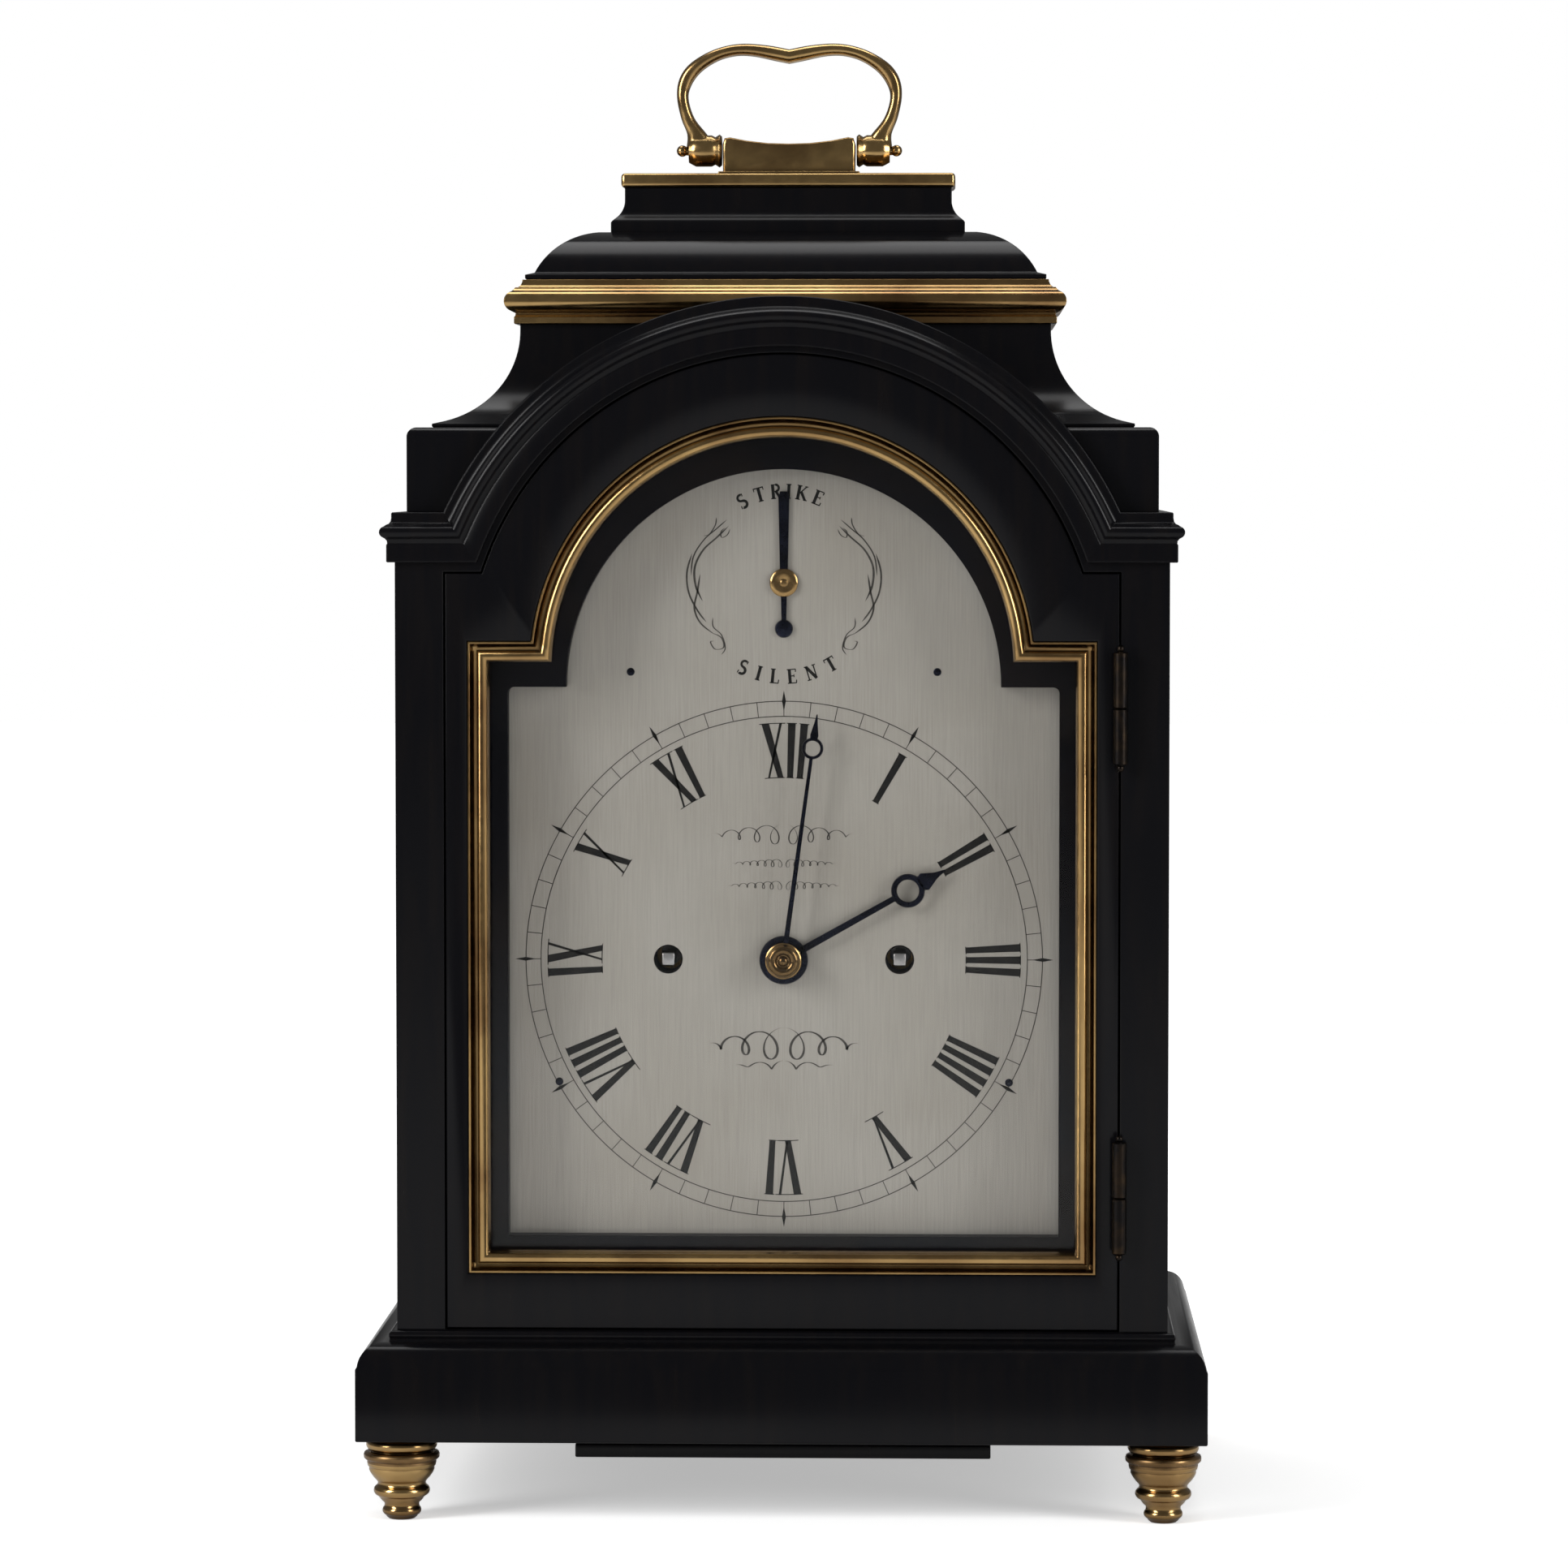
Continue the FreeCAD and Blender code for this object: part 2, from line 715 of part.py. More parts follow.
def hinge_half(owner, label, across, back, up, turned):
    """Half of a butt hinge round its upright pin, turned over for the rear door.

    The case's half has the pin and the lower knuckle, the door's half turns on it."""
    half = loose_body(label)
    near, far = "doorGap / 2", "doorGap / 2 + leafThickness"
    if owner == "case":
        left, right = near, far
        low, high = "-hingeHeight / 2", "-0.1"
    else:
        left, right = f"-({far})", f"-({near})"
        low, high = "0.1", "hingeHeight / 2"
    leaf = rectangle(left, "hingeLead + 0.1", right, "hingeLead + leafWidth")
    pad(half, "XY", [leaf], "-hingeHeight / 2", "hingeHeight / 2")
    pad(half, "XY", [rectangle(left, "0", right, "hingeLead + 0.2")], low, high)
    pad(half, "XY", [facets(12, "hingeRadius")], low, high)
    if owner == "case":
        pad(half, "XY", [circle("hingeRadius * 0.42")], high, "hingeHeight / 2")
    else:
        pocket(half, "XY", [bore(8, "hingeRadius * 0.42 + 0.06")], low, high)
    half.Placement.Rotation = FreeCAD.Rotation(FreeCAD.Vector(1, 0, 0), 180 if turned else 0)
    place(half, across, back, up)
    return half


def make_hinges():
    fitted = {"case": [], "front": [], "rear": []}
    front_at = ("doorHalf + doorGap / 2", f"-({half_depth} + hingeLead)")
    rear_at = (f"{inner_half} - doorGap / 2", f"{half_depth} + hingeLead")
    for level in hinge_levels:
        for name, where in (("front", front_at), ("rear", rear_at)):
            turned = name == "rear"
            fitted["case"].append(hinge_half("case", f"case_{name}_{level}", *where, level, turned))
            fitted[name].append(hinge_half("door", f"{name}_{level}", *where, level, turned))
    group_of("hinges_case", fitted["case"])
    group_of("front_hinges_door", fitted["front"])
    group_of("rear_hinges_door", fitted["rear"])


# ---------------------------------------------------------------- doors

def bezel_outline(inset):
    return arched(
        f"bezelHalf - {inset}", f"bezelBottom + {inset}", f"bezelShoulder - {inset}",
        f"bezelArch - {inset}", "bezelCentre",
    )


def make_front_door():
    front = f"-({half_depth})"
    back = f"-({half_depth} - doorThickness)"
    rebate = "-(glassFront - glassThickness)"
    frame = new_body("front_door_frame")
    outline = arched("doorHalf", "baseTop + doorGap", "doorTop", "doorArch", "archCentre")
    pad(frame, "XZ", [outline], front, back)
    pocket(frame, "XZ", [bezel_outline("0")], f"{front} - 1", rebate)
    pocket(frame, "XZ", [bezel_outline("4.6")], f"{rebate} - 1", f"{back} + 1")
    bevel = [
        ("-doorHalf - 1", front),
        ("-doorHalf", front),
        ("-doorHalf + closingBevel", back),
        ("-doorHalf - 1", back),
    ]
    pocket(frame, "XY", [bevel], "baseTop", "doorTop + 1")
    edge = [leaf_bed("doorHalf - leafThickness", "doorHalf + 1", at) for at in hinge_levels]
    pocket(frame, "XZ", edge, f"{front} - 1", f"{front} + leafWidth + 0.3")
    lock_left, lock_right = "-doorHalf + 1.2", "-doorHalf + 5.8"
    lock_low, lock_high = "centreHeight - 14", "centreHeight + 14"
    pocket(
        frame, "XZ", [rectangle("-doorHalf - 1", lock_low, lock_right, lock_high)],
        f"{front} + 4", f"{front} + 12",
    )
    lock = new_body("front_door_lock")
    pad(lock, "XZ", [rectangle(lock_left, lock_low, lock_right, lock_high)], f"{front} + 4", f"{front} + 12")
    pad(
        lock, "XZ", [rectangle("-doorHalf + 0.4", "centreHeight - 3", lock_left, "centreHeight + 3")],
        f"{front} + 6.5", f"{front} + 9.5",
    )

    bezel = new_body("front_door_bezel")
    seat = "-glassFront"
    pad(bezel, "XZ", [bezel_outline("0"), bezel_outline("bezelWidth")], "-84.4", seat)

    glass = new_body("front_door_glass")
    pad(glass, "XZ", [bezel_outline("0.4")], "-glassFront", rebate)


def make_rear_door():
    back = half_depth
    front = f"{half_depth} - doorThickness"
    half = f"{inner_half} - doorGap"
    low, high = "baseTop + doorGap", "corniceLevel - 1"
    stile = "24"
    frame = new_body("rear_door_frame")
    pad(frame, "XZ", [rectangle(f"-({half})", low, half, high)], front, back)

    def opening(inset):
        across = f"{half} - ({inset})"
        return rectangle(f"-({across})", f"{low} + ({inset})", across, f"{high} - ({inset})")

    pocket(frame, "XZ", [opening(stile)], f"{front} - 1", f"{back} + 1")
    pocket(frame, "XZ", [opening(f"{stile} - 5")], f"{front} - 1", f"{front} + 8")
    bevel = [
        (f"-({half}) - 1", back),
        (f"-({half})", back),
        (f"-({half}) + closingBevel", front),
        (f"-({half}) - 1", front),
    ]
    pocket(frame, "XY", [bevel], f"{low} - 1", f"{high} + 1")
    edge = [leaf_bed(f"{half} - leafThickness", f"{half} + 1", at) for at in hinge_levels]
    pocket(frame, "XZ", edge, f"{back} - leafWidth - 0.3", f"{back} + 1")
    glass = new_body("rear_door_glass")
    pad(glass, "XZ", [opening(f"{stile} - 4.6")], f"{front} + 6", f"{front} + 8")


# ---------------------------------------------------------------- dial and hands

def dial_outline(margin):
    return arched(
        f"dialHalf + {margin}", f"dialBottom - {margin}", f"dialShoulder + {margin}",
        f"dialArch + {margin}", "dialShoulder",
    )


def make_dial():
    mask = new_body("dial_mask")
    outer = arched(
        f"{inner_half} - 0.2", "baseTop + 0.7", "blockLevel - 0.2",
        "hoodRadius - hoodWall - 0.3", "archCentre",
    )
    pad(mask, "XZ", [outer, dial_outline("0")], "-maskFront", "-dialFront")

    dial = new_body("dial_plate")
    rear = "-dialFront + dialThickness"
    pad(dial, "XZ", [dial_outline("dialMargin")], "-dialFront", rear)
    feet = []
    for across, up in (("49.7", "272.7"), ("73.1", "139.3")):
        feet += [facets(8, "2.5", f"{side}{across}", up) for side in ("", "-")]
    pad(dial, "XZ", feet, rear, "-frontPlateFace")
    holes = [bore(16, "4.6", f"{side}windingOffset", "centreHeight") for side in ("", "-")]
    holes.append(bore(12, "3.4", "0", "centreHeight"))
    holes.append(bore(8, "1.65", "0", "silenceHeight"))
    pocket(dial, "XZ", holes, "-dialFront - 2", f"{rear} + 1")


def at_centre(body, height, degrees=0.0):
    """Put a piece that was drawn upright round its own arbor in its place, turned clockwise."""
    turned = FreeCAD.Rotation(FreeCAD.Vector(0, 1, 0), degrees)
    body.Placement = FreeCAD.Placement(FreeCAD.Vector(0, 0, number(height)), turned)
    body.setExpression("Placement.Base.z", bind(height))


def make_pointer():
    """Strike or silent hand, with its ball tail, arbor and the lever behind the dial."""
    pointer = new_body("silence_pointer")
    front, back = "-dialFront - 1.3", "-dialFront - 0.3"
    rod(pointer, "4.7", "-dialFront - 1.8", back, 20)
    blade = both_sides([("2", "0"), ("1.1", "23"), ("2.1", "25"), ("0.3", "31")])
    pad(pointer, "XZ", [blade], front, back)
    tail = both_sides([("0.8", "-13"), ("1.4", "0")])
    pad(pointer, "XZ", [tail], front, back)
    pad(pointer, "XZ", [facets(12, "2.9", "0", "-14.7")], front, back)
    rod(pointer, "1.6", front, "-dialFront + 5")
    lever = both_sides([("1.6", "-14"), ("2.6", "2")])
    pad(pointer, "XZ", [lever], "-dialFront + 3.6", "-dialFront + 5")
    at_centre(pointer, "silenceHeight")


def make_hands():
    hour = new_body("hour_hand")
    front, back = "-dialFront - 3.6", "-dialFront - 2.6"
    rod(hour, "7.9", front, back, 24)
    pad(hour, "XZ", [both_sides([("2.4", "0"), ("1.3", "41.5")])], front, back)
    pad(hour, "XZ", [facets(20, "5.5", "0", "46.2")], front, back)
    pad(hour, "XZ", [both_sides([("1.7", "51"), ("2", "53.5"), ("0.3", "60")])], front, back)
    pocket(hour, "XZ", [facets(20, "3.7", "0", "46.2")], f"{front} - 1", f"{back} + 1")
    pocket(hour, "XZ", [bore(12, "3.12")], f"{front} - 1", f"{back} + 1")
    at_centre(hour, "centreHeight", 60.7)

    minute = new_body("minute_hand")
    front, back = "-dialFront - 6.8", "-dialFront - 5.8"
    rod(minute, "4.4", front, back, 16)
    pad(minute, "XZ", [both_sides([("1.3", "0"), ("0.6", "66.5")])], front, back)
    pad(minute, "XZ", [facets(16, "3.4", "0", "69.5")], front, back)
    pad(minute, "XZ", [both_sides([("1", "72.4"), ("1.2", "74"), ("0.2", "80.6")])], front, back)
    pocket(minute, "XZ", [facets(16, "2.5", "0", "69.5")], f"{front} - 1", f"{back} + 1")
    pocket(minute, "XZ", [bore(12, "2.32")], f"{front} - 1", f"{back} + 1")
    at_centre(minute, "centreHeight", 7.8)

    collet = new_body("hand_collet")
    rod(collet, "6.3", "-dialFront - 10", "-dialFront - 6.8", 20)
    pocket(collet, "XZ", [bore(8, "1.55")], "-dialFront - 7.8", "-dialFront - 6")
    at_centre(collet, "centreHeight")


# ---------------------------------------------------------------- movement

front_face = "-frontPlateFace"
front_inside = "(-frontPlateFace + plateThickness)"
back_inside = "backPlateFace"
back_face = "(backPlateFace + plateThickness)"
arbor_ends = (f"{front_inside} + 0.05", f"{back_inside} - 0.05")

# where each arbor stands, as (across, up) seen from the front
arbors = {
    "centre": (0.0, number("centreHeight")),
    "third": (10.48, number("centreHeight") + 31.45),
    "escape": (0.0, number("centreHeight") + 60.2),
    "pallets": (0.0, number("palletHeight")),
    "going_fusee": (number("windingOffset"), number("centreHeight")),
    "strike_fusee": (-number("windingOffset"), number("centreHeight")),
    "going_barrel": (48.0, 133.0),
    "strike_barrel": (-48.0, 133.0),
    "pin": (-44.0, number("centreHeight") + 31.15),
    "gathering": (-36.0, number("centreHeight") + 51.2),
    "warning": (-24.5, number("centreHeight") + 66.25),
    "fly": (-20.0, number("centreHeight") + 79.95),
    "minute": (0.0, number("centreHeight") - 16.8),
    "hammer": (-54.0, 238.0),
}


def gap_between(start, finish):
    """Distance between two arbors, and its angle from upright, anticlockwise from the front."""
    (x0, z0), (x1, z1) = arbors[start], arbors[finish]
    return math.hypot(x1 - x0, z1 - z0), math.degrees(math.atan2(-(x1 - x0), z1 - z0))


def module_of(first, second):
    """Tooth size that lets two pieces run together, each given as its arbor and its count."""
    distance, _ = gap_between(first[0], second[0])
    return str(round(2 * distance / (first[1] + second[1]), 6))


def wheel(body, driver, driven, front, back, shift=0.0):
    """A wheel with pointed teeth, with a gap towards the arbor that it runs with."""
    teeth = driver[1]
    module = module_of(driver, driven)
    _, aim = gap_between(driver[0], driven[0])
    tip = f"{module} * ({teeth} / 2 + wheelAddendum)"
    root = f"{module} * ({teeth} / 2 - wheelDedendum)"
    disc(body, f"{tip} + 0.2", front, back)
    across = f"1.4 * {tip} * sin({180 / teeth} deg)"
    up = f"{root} + 1.4 * ({tip} * cos({180 / teeth} deg) - {root})"
    gap = [(f"-({across})", up), ("0", root), (across, up)]
    cut = pocket(body, "XZ", [gap], f"{front} - 1", f"{back} + 1", aim + shift)
    around(body, cut, teeth)


def pinion(body, driver, driven, front, back):
    """A pinion whose leaves taper outwards, with a leaf towards the wheel that it runs with."""
    leaves = driver[1]
    module = module_of(driver, driven)
    _, aim = gap_between(driver[0], driven[0])
    outer = f"{module} * ({leaves} / 2 + pinionAddendum)"
    root = f"{module} * ({leaves} / 2 - pinionDedendum)"
    half = 180.0 / leaves
    pad(body, "XZ", [bore(2 * leaves, outer)], front, back, aim)

    def flank(reach, width):
        across = f"({reach}) * sin({half} deg) - {module} * ({width}) / 2 * cos({half} deg)"
        up = f"({reach}) * cos({half} deg) + {module} * ({width}) / 2 * sin({half} deg)"
        return (across, up)

    beyond = flank(f"{root} + 1.5 * ({outer} - {root})", "leafRoot + 1.5 * (leafTip - leafRoot)")
    gap = both_sides([flank(root, "leafRoot"), beyond])
    cut = pocket(body, "XZ", [gap], f"{front} - 1", f"{back} + 1", aim + half)
    around(body, cut, leaves)


def around(body, feature, count):
    pattern = body.newObject("PartDesign::PolarPattern", "Around")
    pattern.Originals = [feature]
    pattern.Axis = (plane_of(body, "Y_Axis"), [""])
    pattern.Angle = 360.0
    pattern.Occurrences = count
    body.Tip = pattern
    doc.recompute()
    return pattern


def cross_out(body, rim, hub, front, back, count=4):
    """Open a wheel between its hub and rim, leaving arms."""
    half = 180.0 / count
    arm = "1.4"
    inner = (f"{hub} * sin({half} deg) - {arm}", f"{hub} * cos({half} deg)")
    outer = (f"{rim} * sin({half} deg) - {arm}", f"{rim} * cos({half} deg)")
    window = [inner, outer, ("0", rim)] + mirror([outer, inner])
    cut = pocket(body, "XZ", [window], f"{front} - 1", f"{back} + 1")
    around(body, cut, count)


def stand(body, name):
    across, up = arbors[name]
    place(body, str(across), "0", str(up))


def make_plates():
    outline = both_sides(
        [
            ("plateWide", "seatLevel"),
            ("plateWide", "plateShoulder"),
            arc("26", 1),
            ("plateNarrow", "plateShoulder + 22"),
            ("plateNarrow", "movementTop"),
        ]
    )
    front = new_body("front_plate")
    pad(front, "XZ", [outline], front_face, front_inside)
    holes = [bore(8, "3.4", f"{side}windingOffset", "centreHeight") for side in ("", "-")]
    holes.append(bore(8, "2", "0", "centreHeight"))
    pocket(front, "XZ", holes, f"{front_face} - 1", f"{front_inside} + 1")
    back = new_body("back_plate")
    pad(back, "XZ", [outline], back_inside, back_face)
    pocket(back, "XZ", [bore(8, "2.6", "0", "palletHeight")], f"{back_inside} - 1", f"{back_face} + 1")

    pillars = []
    for across, up in (("72", "112"), ("-72", "112"), ("70", "220"), ("-70", "220")):
        pillar = loose_body(f"pillar_{len(pillars)}")
        rod(pillar, "4", front_inside, back_inside, 12)
        place(pillar, across, "0", up)
        pillars.append(pillar)
    group_of("plate_pillars", pillars)

    seat = new_body("seat_board")
    half = f"{inner_half}"
    pad(seat, "XZ", [rectangle(f"-{half}", "seatLevel - 12", half, "seatLevel")], "-52", "36")
    for left, right in ((f"-{half}", f"-({half} - 14)"), (f"{half} - 14", half)):
        pad(seat, "XZ", [rectangle(left, "seatLevel - 24", right, "seatLevel - 12")], "-52", "36")


def make_fusee(name, target):
    """A fusee with its great wheel in front and its winding square through the dial."""
    fusee = new_body(f"{name}_fusee")
    wheel(fusee, (f"{name}_fusee", 40), (target, 6), "-28.5", "-26.3")
    for radius, front, back in (("20.5", "-26.3", "-15"), ("17", "-15", "-2"), ("12", "-2", "12")):
        rod(fusee, radius, front, back, 16)
    rod(fusee, "3", *arbor_ends)
    rod(fusee, "3.2", f"{front_face} - 1", arbor_ends[0])
    square = rectangle("-1.6", "-1.6", "1.6", "1.6")
    pad(fusee, "XZ", [square], "-dialFront + 0.6", f"{front_face} - 1")
    stand(fusee, f"{name}_fusee")


def make_barrel(name):
    barrel = new_body(f"{name}_barrel")
    rod(barrel, "23", "-20", "14", 24)
    rod(barrel, "3", *arbor_ends)
    stand(barrel, f"{name}_barrel")


def make_going_train():
    make_fusee("going", "centre")
    make_barrel("going")

    centre = new_body("centre_wheel")
    pinion(centre, ("centre", 6), ("going_fusee", 40), "-30.5", "-24")
    wheel(centre, ("centre", 40), ("third", 6), "16", "17.6")
    cross_out(centre, "26", "6", "16", "17.6")
    rod(centre, "1.5", "-dialFront - 7.6", arbor_ends[1])
    stand(centre, "centre")

    third = new_body("third_wheel")
    pinion(third, ("third", 6), ("centre", 40), "13.6", "20")
    wheel(third, ("third", 36), ("escape", 6), "9.4", "11")
    cross_out(third, "22", "5", "9.4", "11")
    rod(third, "1.3", *arbor_ends)
    stand(third, "third")

    escape = new_body("escape_wheel")
    pinion(escape, ("escape", 6), ("third", 36), "7", "13.4")
    disc(escape, "18.2", "21.2", "22.8")
    root = (-1.3, 14.4)
    tips = [(side * 18 * math.sin(math.pi / 30), 18 * math.cos(math.pi / 30)) for side in (-1, 1)]
    beyond = [tuple(str(r + 1.4 * (t - r)) for r, t in zip(root, tip)) for tip in tips]
    gap = [beyond[0], (str(root[0]), str(root[1])), beyond[1]]
    cut = pocket(escape, "XZ", [gap], "20.2", "23.8")
    around(escape, cut, 30)
    rod(escape, "1.3", *arbor_ends)
    stand(escape, "escape")

    pallets = new_body("pallets")
    anchor = both_sides(
        [
            ("3.4", "-2"),
            ("11.5", "-4.6"),
            ("16", "-12.6"),
            ("17.6", "-13.8"),
            ("18.2", "-12.6"),
            ("14", "-2.6"),
            ("4.6", "3.4"),
        ]
    )
    pad(pallets, "XZ", [anchor], "20.8", "23.4")
    rod(pallets, "1.3", arbor_ends[0], "pendulumPlane - 6")
    crutch = rectangle("-1", "-46", "1", "0")
    pad(pallets, "XZ", [crutch], "pendulumPlane - 8", "pendulumPlane - 6")
    pin = rectangle("-0.8", "-46", "0.8", "-44.4")
    pad(pallets, "XZ", [pin], "pendulumPlane - 6", "pendulumPlane - 1.6")
    stand(pallets, "pallets")


def make_strike_train():
    make_fusee("strike", "pin")
    make_barrel("strike")

    pins = new_body("pin_wheel")
    pinion(pins, ("pin", 6), ("strike_fusee", 40), "-30.5", "-24")
    wheel(pins, ("pin", 40), ("gathering", 6), "22.4", "24")
    cross_out(pins, "16", "5", "22.4", "24")
    rod(pins, "1.4", *arbor_ends)
    stand(pins, "pin")

    gathering = new_body("gathering_wheel")
    pinion(gathering, ("gathering", 6), ("pin", 40), "20.4", "25.6")
    wheel(gathering, ("gathering", 30), ("warning", 6), "8", "9.4")
    rod(gathering, "1.3", *arbor_ends)
    stand(gathering, "gathering")

    warning = new_body("warning_wheel")
    pinion(warning, ("warning", 6), ("gathering", 30), "6", "11.4")
    wheel(warning, ("warning", 30), ("fly", 6), "-4", "-2.6")
    rod(warning, "1.2", *arbor_ends)
    stand(warning, "warning")

    fly = new_body("fly")
    pinion(fly, ("fly", 6), ("warning", 30), "-6", "-0.6")
    pad(fly, "XZ", [rectangle("-11", "-0.4", "11", "0.4")], "3", "17")
    rod(fly, "1.2", *arbor_ends)
    stand(fly, "fly")


def make_motion_work():
    """Cannon pinion, minute wheel and hour wheel, twelve to one between them."""
    cannon = new_body("cannon_pinion")
    wheel(cannon, ("centre", 10), ("minute", 30), "-42.4", "-40.8")
    rod(cannon, "2.3", "-dialFront - 6.8", "-40.8", 12)
    pocket(cannon, "XZ", [bore(8, "1.55")], "-dialFront - 8", "-40")
    stand(cannon, "centre")

    minute = new_body("minute_wheel")
    wheel(minute, ("minute", 30), ("centre", 10), "-42.4", "-40.8", 6.0)
    pinion(minute, ("minute", 8), ("centre", 32), "-48", "-42.4")
    rod(minute, "1", "-49", f"{front_face} - 0.05")
    stand(minute, "minute")

    hour = new_body("hour_wheel")
    wheel(hour, ("centre", 32), ("minute", 8), "-46.6", "-45")
    rod(hour, "3.1", "-dialFront - 3.6", "-45", 12)
    pocket(hour, "XZ", [bore(12, "2.36")], "-dialFront - 6", "-44")
    stand(hour, "centre")


def make_pendulum():
    cock = new_body("back_cock")
    arm = both_sides([("6", "palletHeight + 3"), ("9", "palletHeight + 11")])
    pad(cock, "XZ", [arm], back_face, "pendulumPlane + 4")
    foot = both_sides([("20", "palletHeight + 3"), ("20", "palletHeight + 11")])
    pad(cock, "XZ", [foot], back_face, f"{back_face} + 3")
    slit = rectangle("-0.6", "palletHeight + 2", "0.6", "palletHeight + 9")
    pocket(cock, "XZ", [slit], "pendulumPlane - 4", "pendulumPlane + 5")

    pendulum = new_body("pendulum")
    bob_level = "palletHeight - pendulumLength"
    rod(pendulum, "bobRadius", "-2", "2", 24)
    rod(pendulum, "bobRadius * 0.7", "-4", "4", 20)
    pad(pendulum, "XY", [facets(8, "1.2")], "-bobRadius - 4", "pendulumLength - 8")
    block = rectangle("-2.4", "-2", "2.4", "2")
    pad(pendulum, "XY", [block], "pendulumLength - 12", "pendulumLength - 7.5")
    spring = rectangle("-0.15", "-2.5", "0.15", "2.5")
    pad(pendulum, "XY", [spring], "pendulumLength - 9", "pendulumLength + 5.5")
    place(pendulum, "0", "pendulumPlane", bob_level)


def make_bell():
    bell = new_body("bell")
    wall = "1.6"
    steps = (("30", "303", "318"), ("22", "318", "330.5"))
    for radius, low, high in steps:
        pad(bell, "XY", [facets(20, radius)], low, high)
    for radius, low, high in steps:
        pocket(bell, "XY", [facets(20, f"{radius} - {wall}")], f"{low} - {wall}", f"{high} - {wall}")

    post = new_body("bell_stand")
    low = f"{back_face} + 2.4"
    pad(post, "XZ", [rectangle("30", "262", "46", "280")], back_face, low)
    pad(post, "XZ", [rectangle("35", "278", "41", "335.5")], back_face, low)
    pad(post, "YZ", [rectangle("-3", "333", low, "335.5")], "-3", "41")
    pad(post, "XY", [facets(8, "2.4")], "330.5", "335.5")

    hammer = new_body("hammer")
    rod(hammer, "1.3", *arbor_ends)
    pad(hammer, "XZ", [rectangle("-1.2", "0", "1.2", "62")], "-1.2", "1.2")
    pad(hammer, "XZ", [rectangle("-4", "61", "17.5", "68")], "-4", "4")
    pad(hammer, "XZ", [rectangle("-1.2", "-14", "1.2", "0")], "24.6", "26.2")
    stand(hammer, "hammer")


make_base()
make_feet()
make_sides()
make_front()
make_crown()
make_bell_top()
make_handle()
make_hinges()
make_front_door()
make_rear_door()
make_dial()
make_pointer()
make_hands()
make_plates()
make_going_train()
make_strike_train()
make_motion_work()
make_pendulum()
make_bell()

doc.recompute()
failed = [thing.Label for thing in doc.Objects if "Invalid" in thing.State or "Error" in thing.State]
if failed:
    raise RuntimeError(f"not built: {failed}")
os.makedirs("parts", exist_ok=True)
for part in parts:
    if part.Shape.isNull() or not part.Shape.isValid():
        raise RuntimeError(f"bad shape: {part.Label}")
for part in parts:
    part.Shape.exportStep(f"parts/{part.Label}.step")
    box = part.Shape.BoundBox
    reach = (box.XMin, box.XMax, box.YMin, box.YMax, box.ZMin, box.ZMax)
    print(part.Label, len(part.Shape.Solids), [round(value, 1) for value in reach])
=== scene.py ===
import bpy
import bmesh
import json
import math
from mathutils import Matrix, Vector


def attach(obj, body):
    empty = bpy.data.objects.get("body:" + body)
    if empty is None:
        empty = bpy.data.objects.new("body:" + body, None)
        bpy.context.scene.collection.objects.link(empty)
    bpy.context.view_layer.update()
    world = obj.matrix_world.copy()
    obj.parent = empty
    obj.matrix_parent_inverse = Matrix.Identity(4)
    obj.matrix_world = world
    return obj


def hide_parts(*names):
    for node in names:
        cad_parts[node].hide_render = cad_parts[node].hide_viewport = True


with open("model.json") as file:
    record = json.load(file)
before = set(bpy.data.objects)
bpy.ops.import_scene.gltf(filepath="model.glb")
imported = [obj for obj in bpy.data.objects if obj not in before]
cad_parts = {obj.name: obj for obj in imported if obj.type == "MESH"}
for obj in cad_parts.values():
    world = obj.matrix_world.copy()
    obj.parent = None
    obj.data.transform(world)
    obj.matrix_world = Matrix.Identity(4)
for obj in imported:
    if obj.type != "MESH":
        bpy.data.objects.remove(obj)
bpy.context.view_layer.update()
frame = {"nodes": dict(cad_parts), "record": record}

mm = 0.001


# the photographer's camera, in metres from the foot of the clock
camera = {
    "place": (0.058, -2.006, 0.338),
    "target": (0.0, -0.060, 0.2363),
    "frameWidth": 0.5087,      # what the picture is wide at the target
    "sensor": 36.0,
}


def makeCamera(spec):
    place = Vector(spec["place"])
    aim = Vector(spec["target"]) - place
    data = bpy.data.cameras.new("camera")
    data.sensor_width = spec["sensor"]
    data.lens = spec["sensor"] * aim.length / spec["frameWidth"]
    data.clip_start = 0.05
    eye = bpy.data.objects.new("camera", data)
    eye.location = place
    eye.rotation_euler = aim.to_track_quat("-Z", "Y").to_euler()
    bpy.context.collection.objects.link(eye)
    bpy.context.scene.camera = eye


makeCamera(camera)
bpy.context.scene.view_settings.view_transform = "Standard"
print("camera set")


# finishes: every field is read in object coordinates, in metres

def newFinish(name):
    material = bpy.data.materials.new(name)
    material.use_nodes = True
    shader = next(node for node in material.node_tree.nodes if node.type == "BSDF_PRINCIPLED")
    return material, material.node_tree, shader


def noiseField(tree, scale, stretch=(1, 1, 1), detail=3.0, twist=0.0):
    place = tree.nodes.new("ShaderNodeTexCoord")
    stretched = tree.nodes.new("ShaderNodeMapping")
    stretched.inputs["Scale"].default_value = stretch
    tree.links.new(place.outputs["Object"], stretched.inputs["Vector"])
    noise = tree.nodes.new("ShaderNodeTexNoise")
    noise.inputs["Scale"].default_value = scale
    noise.inputs["Detail"].default_value = detail
    noise.inputs["Distortion"].default_value = twist
    tree.links.new(stretched.outputs["Vector"], noise.inputs["Vector"])
    return noise.outputs["Fac"]


